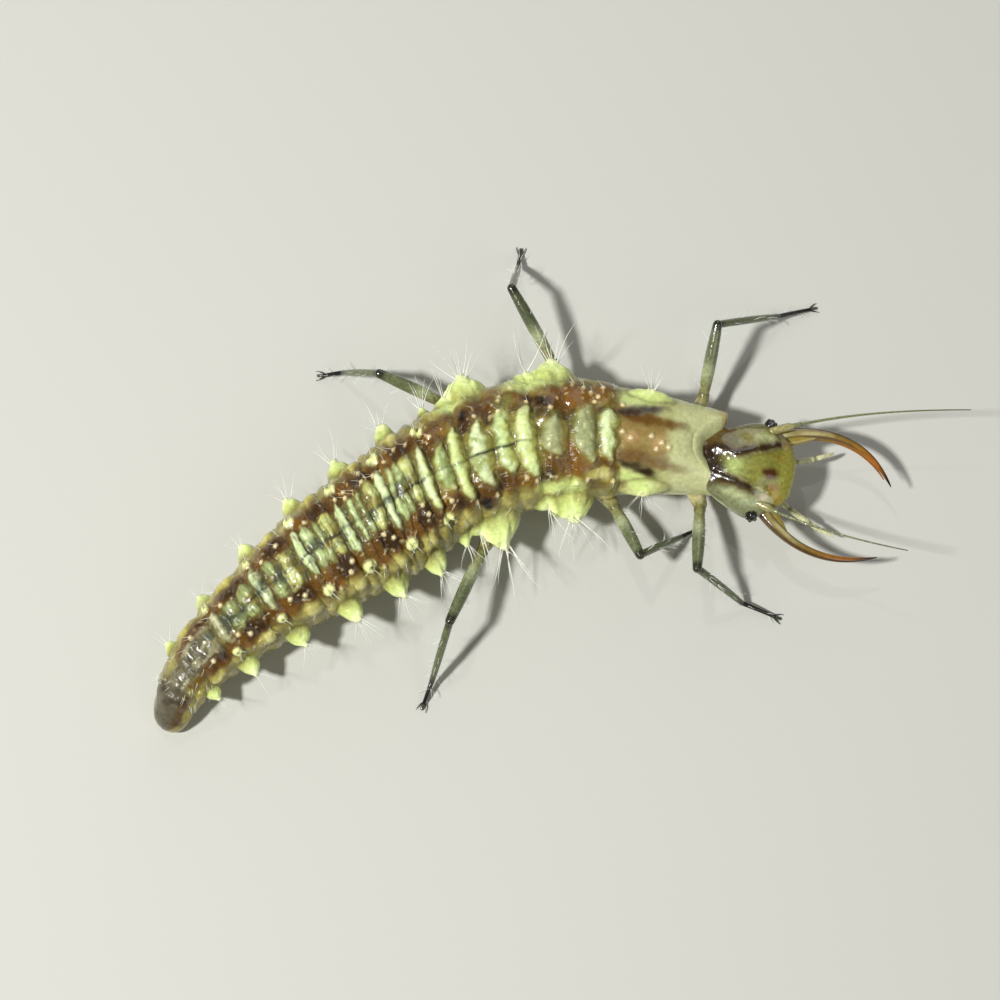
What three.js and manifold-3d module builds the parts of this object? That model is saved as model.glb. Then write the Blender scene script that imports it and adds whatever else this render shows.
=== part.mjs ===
// Green lacewing larva (an aphid lion) in its third and last instar, at life size, in millimetres.
// +Z is up, the head points towards +X and the animal's left side is towards +Y.
// It stands on six feet and its tail pad, all on the ground plane z = 0, under the middle of its bounding box.
import * as THREE from "three";
import { mergeVertices } from "three/addons/utils/BufferGeometryUtils.js";
import Module from "manifold-3d";

const wasm = await Module();
wasm.setup();

// Driving dimensions, in millimetres, and angles in degrees. Places are [x, y] seen from above, or [x, y, z].
const cut = 0.1; // thin gap that parts one piece from the next
const finest = 0.008; // edges shorter than this are closed up after a cut or a join
const eyeGap = 0.05; // gap round an eye in its socket
const bodySides = 24;

// One row for each segment from the neck to the tail. front is where its front edge crosses the middle of the back,
// facing is the way the segment faces (anticlockwise from +X) and roll is how far its back leans to the right.
// breadth and depth are at its middle, belly is the height of its underside and folds is the number of rolls across
// the back. side and upper are the bristle-bearing tubercles along each flank and beside the back: how far each
// stands out, the radius of its root and where it sits along the segment, from 0 in front to 1 behind.
const segments = [
  { name: "prothorax", front: [2.94, 0.53], facing: -8, roll: 10, breadth: 1.44, depth: 0.92, belly: 0.4, folds: 2,
    side: { reach: 0.13, root: 0.27, at: 0.5 } },
  { name: "mesothorax", front: [1.67, 0.66], facing: 6, roll: 8, breadth: 1.82, depth: 1.2, belly: 0.36, folds: 3,
    side: { reach: 0.32, root: 0.33, at: 0.64 } },
  { name: "metathorax", front: [0.46, 0.62], facing: 14, roll: 7, breadth: 1.9, depth: 1.34, belly: 0.3, folds: 3,
    side: { reach: 0.4, root: 0.32, at: 0.68 } },
  { name: "abdomen_1", front: [-0.54, 0.25], facing: 19, roll: 5, breadth: 1.88, depth: 1.42, belly: 0.25, folds: 2,
    side: { reach: 0.14, root: 0.12, at: 0.5 }, upper: { reach: 0.08, root: 0.1, at: 0.86 } },
  { name: "abdomen_2", front: [-1.03, -0.03], facing: 24, roll: 2, breadth: 1.9, depth: 1.46, belly: 0.21, folds: 3,
    side: { reach: 0.28, root: 0.21, at: 0.45 }, upper: { reach: 0.09, root: 0.11, at: 0.86 } },
  { name: "abdomen_3", front: [-1.6, -0.45], facing: 28, roll: 0, breadth: 1.8, depth: 1.42, belly: 0.18, folds: 3,
    side: { reach: 0.27, root: 0.21, at: 0.45 }, upper: { reach: 0.09, root: 0.11, at: 0.8 } },
  { name: "abdomen_4", front: [-2.23, -0.86], facing: 31, roll: 0, breadth: 1.62, depth: 1.32, belly: 0.16, folds: 3,
    side: { reach: 0.27, root: 0.2, at: 0.45 }, upper: { reach: 0.09, root: 0.1, at: 0.66 } },
  { name: "abdomen_5", front: [-2.9, -1.32], facing: 34, roll: 0, breadth: 1.33, depth: 1.16, belly: 0.14, folds: 3,
    side: { reach: 0.25, root: 0.19, at: 0.45 }, upper: { reach: 0.08, root: 0.09, at: 0.56 } },
  { name: "abdomen_6", front: [-3.6, -1.88], facing: 38, roll: 0, breadth: 1.06, depth: 0.96, belly: 0.11, folds: 3,
    side: { reach: 0.2, root: 0.17, at: 0.42 }, upper: { reach: 0.07, root: 0.08, at: 0.47 } },
  { name: "abdomen_7", front: [-4.2, -2.44], facing: 45, roll: 0, breadth: 0.82, depth: 0.78, belly: 0.08, folds: 2,
    side: { reach: 0.16, root: 0.14, at: 0.42 } },
  { name: "abdomen_8", front: [-4.5, -2.84], facing: 54, roll: 0, breadth: 0.66, depth: 0.64, belly: 0.05, folds: 2 },
  { name: "abdomen_tail", front: [-4.63, -3.12], facing: 60, roll: 0, breadth: 0.56, depth: 0.52, belly: -0.03, folds: 1 },
];
const tailEnd = [-4.75, -3.41];
const foldDepth = 0.05; // share of the radius that a fold between two rolls goes in
const seamDepth = 0.1; // the same where two segments meet
const backShare = 0.6; // share of the depth that lies over the widest line
const neckBreadth = 1.24;
const neckDepth = 0.74;
const collarLobe = { reach: 0.3, notch: 0.12, span: 0.45 }; // the collar's front edge clasps the head on both sides
const tubercleAngle = { side: 6, upper: 48 }; // above the widest line
const tubercleSunk = 0.16; // how far a tubercle's root goes into its segment
const tubercleSides = 8;

const head = {
  neck: [2.9, 0.39],
  length: 1.27,
  thickness: 0.66,
  level: 0.86, // height of its middle at the neck
  heading: -13,
  dip: 5, // the face points this far down
};
// Half the head's breadth along its length: narrow at the neck, widest at the eyes, then tapering to the lip.
const headOutline = [
  { at: 0, half: 0.3 }, { at: 0.12, half: 0.46 }, { at: 0.3, half: 0.58 }, { at: 0.48, half: 0.68 },
  { at: 0.62, half: 0.7 }, { at: 0.76, half: 0.64 }, { at: 0.88, half: 0.54 }, { at: 0.96, half: 0.43 },
  { at: 1, half: 0.34 },
];
const headSides = 20;
const eye = { at: 0.65, out: 0.7, up: 0.1, radius: 0.13 };

// Jaws, feelers and palps, placed in the head: at is along its length, out is to the side and up is over its middle.
// bow is how far the middle stands off the straight line from root to tip, at bend of its length.
const jaws = {
  left: { root: [0.86, 0.55, -0.03], tip: [2.72, 0.27, -0.06], bow: 0.36, bend: 0.58 },
  right: { root: [0.86, -0.42, -0.03], tip: [2.72, -0.8, -0.06], bow: -0.36, bend: 0.5 },
};
const antennae = {
  left: { root: [0.86, 0.58, 0.16], tip: [3.52, 1.48, 0.55], bow: 0.1, bend: 0.4 },
  right: { root: [0.86, -0.5, 0.17], tip: [3.0, -0.8, 0.7], bow: -0.08, bend: 0.4 },
};
const palps = {
  left: { root: [1.05, 0.28, -0.26], tip: [1.87, 0.66, -0.4], bow: -0.05, bend: 0.5 },
  right: { root: [1.05, -0.16, -0.26], tip: [2.1, -0.56, -0.4], bow: -0.05, bend: 0.5 },
};
const thickness = {
  jaw: { root: 0.46, tip: 0.08, fullness: 1.6, sides: 8, steps: 12 },
  antenna: { root: 0.34, tip: 0.1, fullness: 0.7, sides: 6, steps: 10 },
  palp: { root: 0.3, tip: 0.12, fullness: 1.2, sides: 6, steps: 5 },
};

// The joints of each leg, from the hip inside its segment, by the trochanter, knee and ankle, to the toe.
const legThickness = [0.48, 0.46, 0.38, 0.28, 0.22];
const legSides = 8;
const legs = {
  leg_front_left: [[2.7, 0.85, 0.62], [2.92, 1.32, 0.5], [3.12, 2.31, 1.1], [4.1, 2.75, 0.22], [4.58, 2.9, 0.08]],
  leg_front_right: [[2.75, 0.1, 0.62], [2.86, -0.2, 0.52], [2.77, -1.26, 1.0], [3.46, -1.57, 0.22], [3.93, -1.74, 0.08]],
  leg_middle_left: [[1.0, 1.3, 0.65], [0.82, 1.78, 0.6], [0.17, 2.86, 1.1], [0.27, 3.52, 0.22], [0.3, 3.76, 0.08]],
  leg_middle_right: [[1.3, 0.15, 0.62], [1.6, -0.2, 0.58], [1.98, -1.03, 0.85], [2.6, -0.6, 0.22], [2.84, -0.46, 0.08]],
  leg_hind_left: [[-0.3, 1.0, 0.62], [-0.7, 1.24, 0.58], [-1.73, 1.62, 0.95], [-2.3, 1.88, 0.22], [-2.58, 1.88, 0.08]],
  leg_hind_right: [[-0.02, -0.3, 0.62], [-0.2, -0.8, 0.56], [-0.7, -2.02, 1.0], [-0.97, -2.72, 0.22], [-1.08, -3.0, 0.08]],
};

const rad = THREE.MathUtils.degToRad;
const up = new THREE.Vector3(0, 0, 1);

// A unit vector with a swing in the ground plane and a rise over it.
function direction(swing, rise = 0) {
  return new THREE.Vector3(
    Math.cos(rad(swing)) * Math.cos(rad(rise)),
    Math.sin(rad(swing)) * Math.cos(rad(rise)),
    Math.sin(rad(rise)),
  );
}

// A smooth curve through knots {at, value}, level beyond both ends.
function smoothThrough(knots) {
  const slope = (i) => {
    const a = knots[Math.max(i - 1, 0)];
    const b = knots[Math.min(i + 1, knots.length - 1)];
    return (b.value - a.value) / (b.at - a.at);
  };
  return (at) => {
    if (at <= knots[0].at) return knots[0].value;
    if (at >= knots.at(-1).at) return knots.at(-1).value;
    const i = knots.findIndex((k) => k.at > at) - 1;
    const span = knots[i + 1].at - knots[i].at;
    const t = (at - knots[i].at) / span;
    const rest = 1 - t;
    return (
      knots[i].value * (1 + 2 * t) * rest * rest +
      knots[i + 1].value * t * t * (3 - 2 * t) +
      slope(i) * span * t * rest * rest -
      slope(i + 1) * span * t * t * rest
    );
  };
}

// A closed skin over rings of points, with a flat cap on each end.
function loft(rings) {
  const n = rings[0].length;
  const points = rings.flat();
  const faces = [];
  for (let r = 0; r + 1 < rings.length; r++)
    for (let i = 0; i < n; i++) {
      const a = r * n + i;
      const b = r * n + ((i + 1) % n);
      faces.push(a, b, b + n, a, b + n, a + n);
    }
  for (const first of [true, false]) {
    const from = first ? 0 : (rings.length - 1) * n;
    for (let i = 1; i + 1 < n; i++) faces.push(...(first ? [from, from + i + 1, from + i] : [from, from + i, from + i + 1]));
  }
  return new THREE.BufferGeometry().setFromPoints(points).setIndex(faces);
}

// A solid for cutting and joining, from any closed geometry.
function solid(geometry) {
  const bare = new THREE.BufferGeometry()
    .setAttribute("position", geometry.getAttribute("position"))
    .setIndex(geometry.index);
  const merged = mergeVertices(bare, 1e-5);
  const index = merged.index.array;
  const faces = [];
  for (let i = 0; i < index.length; i += 3) {
    const [a, b, c] = index.slice(i, i + 3);
    if (a !== b && b !== c && c !== a) faces.push(a, b, c);
  }
  const vertProperties = merged.attributes.position.array;
  const make = (corners) =>
    new wasm.Manifold(new wasm.Mesh({ numProp: 3, vertProperties, triVerts: new Uint32Array(corners) }));
  const made = make(faces);
  return made.volume() > 0 ? made : make(faces.reverse());
}

const joined = (solids) => solids.reduce((all, one) => all.add(one));
const without = (whole, tools) => tools.reduce((rest, tool) => rest.subtract(tool), whole);

// The largest closed body of a solid, which drops any scrap that a cut leaves.
function largest(made) {
  return made.decompose().reduce((best, one) => (one.volume() > best.volume() ? one : best));
}

// Closes up the slivers and tiny edges that cuts and joins leave.
function tidied(made) {
  return [1, 2, 3].reduce((rest) => rest.asOriginal().simplify(finest), made);
}

function geometryOf(made) {
  const mesh = made.getMesh();
  const places = new Float32Array(mesh.numVert * 3);
  for (let i = 0; i < mesh.numVert; i++)
    places.set(mesh.vertProperties.subarray(i * mesh.numProp, i * mesh.numProp + 3), i * 3);
  const geometry = new THREE.BufferGeometry()
    .setAttribute("position", new THREE.BufferAttribute(places, 3))
    .setIndex(new THREE.BufferAttribute(mesh.triVerts, 1));
  geometry.computeVertexNormals();
  return geometry;
}

// The ground, as a slab under z = 0 that presses flats on all that reaches it.
const groundSize = 40;
const ground = solid(new THREE.BoxGeometry(groundSize, groundSize, 2).translate(0, 0, -1));

// The middle of the back seen from above, and the sizes along it. at counts segments from the neck.
const back = new THREE.CatmullRomCurve3(
  [...segments.map((s) => s.front), tailEnd].map(([x, y]) => new THREE.Vector3(x, y, 0)),
);
const knotsOf = (key, first) => [
  ...(first === undefined ? [] : [{ at: 0, value: first }]),
  ...segments.map((s, i) => ({ at: i + 0.5, value: s[key] })),
];
const facingAt = smoothThrough(knotsOf("facing"));
const breadthAt = smoothThrough(knotsOf("breadth", neckBreadth));
const depthAt = smoothThrough(knotsOf("depth", neckDepth));
const bellyAt = smoothThrough(knotsOf("belly"));
const lengthOf = (i) => back.getPoint(i / segments.length).distanceTo(back.getPoint((i + 1) / segments.length));

// A point on the body's skin: how far along, and the angle above the widest line on the left side.
function skinPoint(at, angle, squeeze = 1, grow = 0) {
  const left = direction(facingAt(at) + 90);
  const half = (breadthAt(at) / 2) * squeeze + grow;
  const depth = depthAt(at);
  const level = bellyAt(at) + depth * (1 - backShare);
  const rise = Math.sin(angle);
  const reach = depth * (rise > 0 ? backShare * squeeze : 1 - backShare) + grow;
  const round = (v, power) => Math.sign(v) * Math.abs(v) ** power;
  const frontShare = Math.max(0, 1 - at / collarLobe.span) ** 2;
  const lobe = rise > -0.4 ? collarLobe.reach * Math.cos(angle) ** 2 : 0;
  const notch = rise > 0 ? collarLobe.notch * rise ** 2 : 0;
  return back
    .getPoint(THREE.MathUtils.clamp(at / segments.length, 0, 1))
    .setZ(level)
    .addScaledVector(direction(facingAt(at)), (lobe - notch) * frontShare)
    .addScaledVector(left, half * round(Math.cos(angle), 0.88))
    .addScaledVector(up, reach * round(rise, rise > 0 ? 0.95 : 0.7));
}

// How far a ring is drawn in: deepest where segments meet, less between the rolls of one segment.
function squeezeAt(segment, share) {
  const roll = Math.abs(Math.sin(Math.PI * segment.folds * share));
  const atSeam = Math.min(share, 1 - share) * segment.folds < 0.5;
  return 1 - (atSeam ? seamDepth : foldDepth) * (1 - roll);
}

function tubercle(place, out, { reach, root }, grow) {
  const r = root + grow;
  const tall = reach + grow;
  const profile = [
    [0, -tubercleSunk],
    [r, -tubercleSunk],
    [r * 0.9, tall * 0.3],
    [r * 0.62, tall * 0.75],
    [r * 0.28, tall],
    [0, tall],
  ].map(([x, y]) => new THREE.Vector2(x, y));
  const turn = new THREE.Quaternion().setFromUnitVectors(new THREE.Vector3(0, 1, 0), out);
  const geometry = new THREE.LatheGeometry(profile, tubercleSides).applyQuaternion(turn);
  return solid(geometry.translate(place.x, place.y, place.z));
}

// One segment of the body with its tubercles. grow swells it all round, for cutting what meets it.
function segmentSolid(index, grow = 0) {
  const segment = segments[index];
  const length = lengthOf(index);
  const last = index === segments.length - 1;
  const from = index + (index === 0 ? 0 : cut / 2 - grow) / length;
  const to = index + 1 - (last ? 0 : cut / 2 - grow) / length;
  const steps = segment.folds * 2;
  const rings = [];
  for (let i = 0; i <= steps; i++) {
    const share = i / steps;
    rings.push({ at: from + (to - from) * share, squeeze: squeezeAt(segment, share) });
  }
  if (index === 0) rings.splice(1, 0, { at: 0.12, squeeze: 0.98 });
  if (last) rings.at(-1).squeeze = 0.62; // the tail closes in a blunt end
  const ringOf = ({ at, squeeze }) =>
    Array.from({ length: bodySides }, (_, i) => skinPoint(at, (2 * Math.PI * i) / bodySides, squeeze, grow));
  const pieces = [solid(loft(rings.map(ringOf)))];
  for (const row of ["side", "upper"])
    for (const side of [1, -1]) {
      if (!segment[row]) continue;
      const at = index + segment[row].at;
      const angle = rad(segment.roll + (side > 0 ? tubercleAngle[row] : 180 - tubercleAngle[row]));
      const left = direction(facingAt(at) + 90);
      const out = left.multiplyScalar(Math.cos(angle)).addScaledVector(up, Math.sin(angle)).normalize();
      pieces.push(tubercle(skinPoint(at, angle), out, segment[row], grow));
    }
  return joined(pieces);
}

// The head, a flattened box with a round back, in its own line from the neck to the lip.
const headAhead = direction(head.heading, -head.dip);
const headLeft = direction(head.heading + 90);
const headUp = new THREE.Vector3().crossVectors(headAhead, headLeft);
function headPoint([at, out, rise]) {
  return new THREE.Vector3(head.neck[0], head.neck[1], head.level)
    .addScaledVector(headAhead, at)
    .addScaledVector(headLeft, out)
    .addScaledVector(headUp, rise);
}
function headSolid(grow = 0) {
  const rings = headOutline.map(({ at, half }) => {
    const swell = Math.sin(Math.PI * (0.16 + 0.68 * at)); // thickest in the middle
    const along = at * head.length + (at - 0.5) * 2 * grow;
    return Array.from({ length: headSides }, (_, i) => {
      const angle = (2 * Math.PI * i) / headSides;
      const round = (v, power) => Math.sign(v) * Math.abs(v) ** power;
      const out = (half + grow) * round(Math.cos(angle), 0.9);
      const rise = ((head.thickness / 2) * swell + grow) * round(Math.sin(angle), 0.85);
      return headPoint([along, out, rise]);
    });
  });
  return solid(loft(rings));
}

// A round tube through places, each with its own way ahead and radius, turned no more than its line turns.
function tube(stations, sides, grow = 0) {
  let across = new THREE.Vector3().crossVectors(stations[0].ahead, up).normalize();
  let before = stations[0].ahead;
  const rings = stations.map(({ place, ahead, radius }) => {
    across = across.applyQuaternion(new THREE.Quaternion().setFromUnitVectors(before, ahead)).normalize();
    before = ahead;
    const over = new THREE.Vector3().crossVectors(across, ahead);
    return Array.from({ length: sides }, (_, i) => {
      const angle = (2 * Math.PI * i) / sides;
      return place
        .clone()
        .addScaledVector(across, (radius + grow) * Math.cos(angle))
        .addScaledVector(over, (radius + grow) * Math.sin(angle));
    });
  });
  return solid(loft(rings));
}

// A tapered horn on the head along a bowed line: jaws, antennae and palps.
function horn(line, size, grow = 0) {
  const root = headPoint(line.root);
  const tip = headPoint(line.tip);
  const ahead = tip.clone().sub(root).normalize();
  const aside = new THREE.Vector3().crossVectors(headUp, ahead).normalize();
  const middle = root.clone().lerp(tip, line.bend).addScaledVector(aside, line.bow * 2);
  const curve = new THREE.QuadraticBezierCurve3(root, middle, tip);
  const stations = Array.from({ length: size.steps + 1 }, (_, i) => {
    const t = i / size.steps;
    const radius = (size.tip + (size.root - size.tip) * (1 - t ** size.fullness)) / 2;
    return { place: curve.getPoint(t), ahead: curve.getTangent(t), radius };
  });
  return tube(stations, size.sides, grow);
}

// A leg from its joints: straight between them, rounded at each and blunt at the toe.
function legSolid(joints) {
  const places = joints.map((j) => new THREE.Vector3(...j));
  const aheads = places.slice(1).map((p, i) => p.clone().sub(places[i]).normalize());
  const stations = [{ place: places[0], ahead: aheads[0], radius: legThickness[0] / 2 }];
  for (let i = 1; i + 1 < places.length; i++) {
    const [entering, leaving] = [aheads[i - 1], aheads[i]];
    const radius = legThickness[i] / 2;
    const bend = radius * (0.15 + 1.15 * Math.tan(entering.angleTo(leaving) / 2));
    const near = places[i].clone().addScaledVector(entering, -bend);
    const far = places[i].clone().addScaledVector(leaving, bend);
    const middle = near.clone().add(far).multiplyScalar(0.5).lerp(places[i], 0.5);
    stations.push(
      { place: near, ahead: entering, radius },
      { place: middle, ahead: entering.clone().add(leaving).normalize(), radius: radius * 1.05 },
      { place: far, ahead: leaving, radius },
    );
  }
  const toe = places.at(-1);
  const ahead = aheads.at(-1);
  const radius = legThickness.at(-1) / 2;
  stations.push({ place: toe, ahead, radius });
  stations.push({ place: toe.clone().addScaledVector(ahead, radius * 0.8), ahead, radius: radius * 0.5 });
  return tube(stations, legSides);
}

// Colours as the eye sees them.
const finishes = {
  skin: { color: "#8a5a3c", roughness: 0.55 },
  tail: { color: "#5d4a40", roughness: 0.55 },
  collar: { color: "#c9bd92", roughness: 0.5 },
  face: { color: "#b9b98a", roughness: 0.3 },
  eye: { color: "#141110", roughness: 0.2 },
  jaw: { color: "#a5601c", roughness: 0.25 },
  feeler: { color: "#7d7a55", roughness: 0.4 },
  leg: { color: "#7f8061", roughness: 0.35 },
};
const lacewing = new THREE.Group();
function addPiece(name, made, finish) {
  const material = new THREE.MeshStandardMaterial({ metalness: 0, ...finishes[finish] });
  const piece = new THREE.Mesh(geometryOf(tidied(largest(made)).subtract(ground).asOriginal()), material);
  piece.name = name;
  lacewing.add(piece);
}

const swollenHead = headSolid(cut);
const swollenSegments = segments.map((_, i) => segmentSolid(i, cut));

segments.forEach((segment, i) => {
  const made = i === 0 ? segmentSolid(i).subtract(swollenHead) : segmentSolid(i);
  const finish = i === 0 ? "collar" : i > segments.length - 3 ? "tail" : "skin";
  addPiece(segment.name, made, finish);
});

const eyeBall = (sign, gap) => {
  const place = headPoint([eye.at * head.length, sign * eye.out, eye.up]);
  return solid(new THREE.SphereGeometry(eye.radius + gap, 10, 7).translate(place.x, place.y, place.z));
};
addPiece("head", without(headSolid(), [eyeBall(1, eyeGap), eyeBall(-1, eyeGap)]), "face");

for (const [side, sign] of [["left", 1], ["right", -1]]) {
  const swollenJaw = horn(jaws[side], thickness.jaw, cut);
  const swollenEye = eyeBall(sign, cut);
  addPiece(`eye_${side}`, eyeBall(sign, 0), "eye");
  addPiece(`jaw_${side}`, horn(jaws[side], thickness.jaw).subtract(swollenHead), "jaw");
  const antenna = horn(antennae[side], thickness.antenna);
  addPiece(`antenna_${side}`, without(antenna, [swollenHead, swollenJaw, swollenEye]), "feeler");
  const palp = horn(palps[side], thickness.palp);
  addPiece(`palp_${side}`, without(palp, [swollenHead, swollenJaw]), "feeler");
}

for (const [name, joints] of Object.entries(legs))
  addPiece(name, without(legSolid(joints), [...swollenSegments.slice(0, 5), swollenHead]), "leg");

// The group's origin goes to the ground under the middle of the whole animal.
const box = new THREE.Box3().setFromObject(lacewing);
const middle = box.getCenter(new THREE.Vector3());
for (const piece of lacewing.children) piece.position.set(-middle.x, -middle.y, 0);

export default lacewing;
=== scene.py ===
# Green lacewing larva at life size: the looks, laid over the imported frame.
import math

import bpy
import numpy as np
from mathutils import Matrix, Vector


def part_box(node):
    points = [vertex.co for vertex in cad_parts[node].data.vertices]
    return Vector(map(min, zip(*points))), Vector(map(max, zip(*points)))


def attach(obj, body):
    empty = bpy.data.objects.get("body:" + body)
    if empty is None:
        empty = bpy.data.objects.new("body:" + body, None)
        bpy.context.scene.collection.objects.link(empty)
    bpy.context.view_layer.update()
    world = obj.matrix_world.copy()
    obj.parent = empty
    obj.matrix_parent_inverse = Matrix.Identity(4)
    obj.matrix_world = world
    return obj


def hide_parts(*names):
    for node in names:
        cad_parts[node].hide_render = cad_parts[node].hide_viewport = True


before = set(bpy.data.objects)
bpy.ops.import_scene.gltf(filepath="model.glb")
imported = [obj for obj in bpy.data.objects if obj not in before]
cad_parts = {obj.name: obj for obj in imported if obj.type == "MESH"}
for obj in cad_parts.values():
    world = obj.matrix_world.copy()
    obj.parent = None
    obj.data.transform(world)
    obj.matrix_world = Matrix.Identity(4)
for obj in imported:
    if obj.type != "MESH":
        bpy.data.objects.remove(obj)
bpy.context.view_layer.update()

# Shapes are worked out in millimetres, in the animal's own layout, and put into the frame as metres.
mm = 0.001
groundGap = 0.002  # how near the limbs come to the ground
rng = np.random.default_rng(7)


def hexColour(code):
    # sRGB hex to the linear colour that shaders take
    parts = [int(code[i:i + 2], 16) / 255 for i in (1, 3, 5)]
    return tuple(c / 12.92 if c <= 0.04045 else ((c + 0.055) / 1.055) ** 2.4 for c in parts) + (1.0,)


def addNode(tree, kind, settings=None, inputs=None):
    made = tree.nodes.new(kind)
    for name, value in (settings or {}).items():
        setattr(made, name, value)
    for name, value in (inputs or {}).items():
        socket = made.inputs[name]
        if isinstance(value, bpy.types.NodeSocket):
            tree.links.new(value, socket)
        else:
            socket.default_value = value
    return made


def direction(swing, rise=0.0):
    a, b = math.radians(swing), math.radians(rise)
    return np.array([math.cos(a) * math.cos(b), math.sin(a) * math.cos(b), math.sin(b)])


def unit(v):
    return v / np.maximum(np.linalg.norm(v, axis=-1, keepdims=True), 1e-12)


def smoothThrough(knots):
    # smooth curve through (at, value) knots, level beyond both ends
    at = np.array([k[0] for k in knots], float)
    value = np.array([k[1] for k in knots], float)
    before = np.maximum(np.arange(len(at)) - 1, 0)
    after = np.minimum(np.arange(len(at)) + 1, len(at) - 1)
    slope = (value[after] - value[before]) / (at[after] - at[before])

    def read(x):
        x = np.clip(np.asarray(x, float), at[0], at[-1])
        i = np.clip(np.searchsorted(at, x, side="right") - 1, 0, len(at) - 2)
        span = at[i + 1] - at[i]
        t = (x - at[i]) / span
        r = 1 - t
        return (value[i] * (1 + 2 * t) * r * r + value[i + 1] * t * t * (3 - 2 * t)
                + slope[i] * span * t * r * r - slope[i + 1] * span * t * t * r)

    return read


def ease(low, high, x):
    t = np.clip((np.asarray(x, float) - low) / (high - low), 0, 1)
    return t * t * (3 - 2 * t)


# The head has the named sizes of its solid. Places on it are given along it, out to its left and up.
headLayout = {"neck": (2.9, 0.39), "length": 1.27, "thickness": 0.66, "level": 0.86, "heading": -13, "dip": 5}
headAhead = direction(headLayout["heading"], -headLayout["dip"])
headLeft = direction(headLayout["heading"] + 90)
headUp = np.cross(headAhead, headLeft)
neckPlace = np.array([*headLayout["neck"], headLayout["level"]])


def headPoint(along, out, rise):
    along, out, rise = (np.asarray(v, float)[..., None] for v in (along, out, rise))
    return neckPlace + along * headAhead + out * headLeft + rise * headUp


# The eye's node shows where the layout lies in the frame.
eyeLayout = {"at": 0.65, "out": 0.70, "up": 0.10}
eyeLow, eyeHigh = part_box("eye_left")
eyeMiddle = headPoint(eyeLayout["at"] * headLayout["length"], eyeLayout["out"], eyeLayout["up"])
shift = np.array([(eyeLow[i] + eyeHigh[i]) / 2 / mm - eyeMiddle[i] for i in range(2)] + [0.0])


def toFrame(places):
    return (np.asarray(places, float) + shift) * mm


# Camera: a long lens, nearly overhead, from the animal's right side. Distance, field and height are in mm.
view = {
    "elevation": 75.0, "distance": 40.0, "field": 14.3, "aimHeight": 0.6, "sensor": 36.0,
    "nearestMetres": 0.002, "farthestMetres": 5.0,
}
lookDown = direction(90, -view["elevation"])
lookUp = direction(90, 90 - view["elevation"])
aim = np.array([0, 0, view["aimHeight"]])
aim = aim - lookUp * (aim @ lookUp)
camera = bpy.data.objects.new("camera", bpy.data.cameras.new("camera"))
camera.data.sensor_width = view["sensor"]
camera.data.lens = view["sensor"] * view["distance"] / view["field"]
camera.data.clip_start = view["nearestMetres"]
camera.data.clip_end = view["farthestMetres"]
camera.location = toFrame(aim - lookDown * view["distance"])
camera.rotation_euler = (math.radians(90 - view["elevation"]), 0, 0)
bpy.context.scene.collection.objects.link(camera)
bpy.context.scene.camera = camera
print("camera set")


def meshPiece(name, places, faces, material, tint):
    # places in mm; tint is a linear colour for each point
    mesh = bpy.data.meshes.new(name)
    mesh.from_pydata(toFrame(places).tolist(), [], [tuple(f) for f in faces])
    layer = mesh.color_attributes.new("tint", "FLOAT_COLOR", "POINT")
    full = np.ones((len(places), 4), np.float32)
    full[:, :3] = tint
    layer.data.foreach_set("color", full.ravel())
    mesh.polygons.foreach_set("use_smooth", [True] * len(mesh.polygons))
    mesh.materials.append(material)
    mesh.update()
    piece = bpy.data.objects.new(name, mesh)
    bpy.context.scene.collection.objects.link(piece)
    return piece


def finish(piece, slot, *nodes):
    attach(piece, "root")
    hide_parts(*nodes)


def gridFaces(rings, sides, start=0):
    # quads between closed rings, facing outwards for rings that turn anticlockwise about the way ahead
    r, s = np.meshgrid(np.arange(rings - 1), np.arange(sides), indexing="ij")
    a = start + r * sides + s
    b = start + r * sides + (s + 1) % sides
    quads = np.stack([a, b, b + sides, a + sides], -1).reshape(-1, 4)
    first = start + np.arange(sides)
    last = first + (rings - 1) * sides
    return [*map(tuple, quads.tolist()), tuple(first[::-1].tolist()), tuple(last.tolist())]


def gridNormals(places):
    ahead = np.gradient(places, axis=0)
    around = np.roll(places, -1, axis=1) - np.roll(places, 1, axis=1)
    return unit(np.cross(ahead, around))


def valueNoise(places, size, seed):
    # smooth random values from 0 to 1 over places in mm
    p = np.asarray(places, float) / size + seed * 17.31
    base = np.floor(p)
    f = p - base
    f = f * f * (3 - 2 * f)
    total = np.zeros(p.shape[:-1])
    for corner in np.ndindex(2, 2, 2):
        h = np.sin((base + corner) @ np.array([127.1, 311.7, 74.7])) * 43758.5453
        weight = np.prod(np.where(np.array(corner) == 1, f, 1 - f), axis=-1)
        total += weight * (h - np.floor(h))
    return total


def paint(colours, code, mask):
    # lays one named colour over an array of linear colours
    mask = np.clip(mask, 0, 1)[..., None]
    return colours * (1 - mask) + np.array(hexColour(code)[:3]) * mask


def plainTint(shape, code):
    return np.broadcast_to(np.array(hexColour(code)[:3]), (*shape, 3)).copy()


def ovalMask(along, out, middle, half, soft=0.45):
    # 1 inside a soft oval, 0 outside
    away = np.hypot((along - middle[0]) / half[0], (out - middle[1]) / half[1])
    return 1 - ease(1 - soft, 1 + soft, away)


def strokeMask(along, out, line, half, soft=0.35):
    # 1 on a line of (along, out) places, 0 beyond its half width
    nearest = np.full(np.shape(along), 9.0)
    for (a0, o0), (a1, o1) in zip(line, line[1:]):
        span = (a1 - a0) ** 2 + (o1 - o0) ** 2
        t = np.clip(((along - a0) * (a1 - a0) + (out - o0) * (o1 - o0)) / span, 0, 1)
        nearest = np.minimum(nearest, np.hypot(along - a0 - t * (a1 - a0), out - o0 - t * (o1 - o0)))
    return 1 - ease(1 - soft, 1 + soft, nearest / half)


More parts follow.
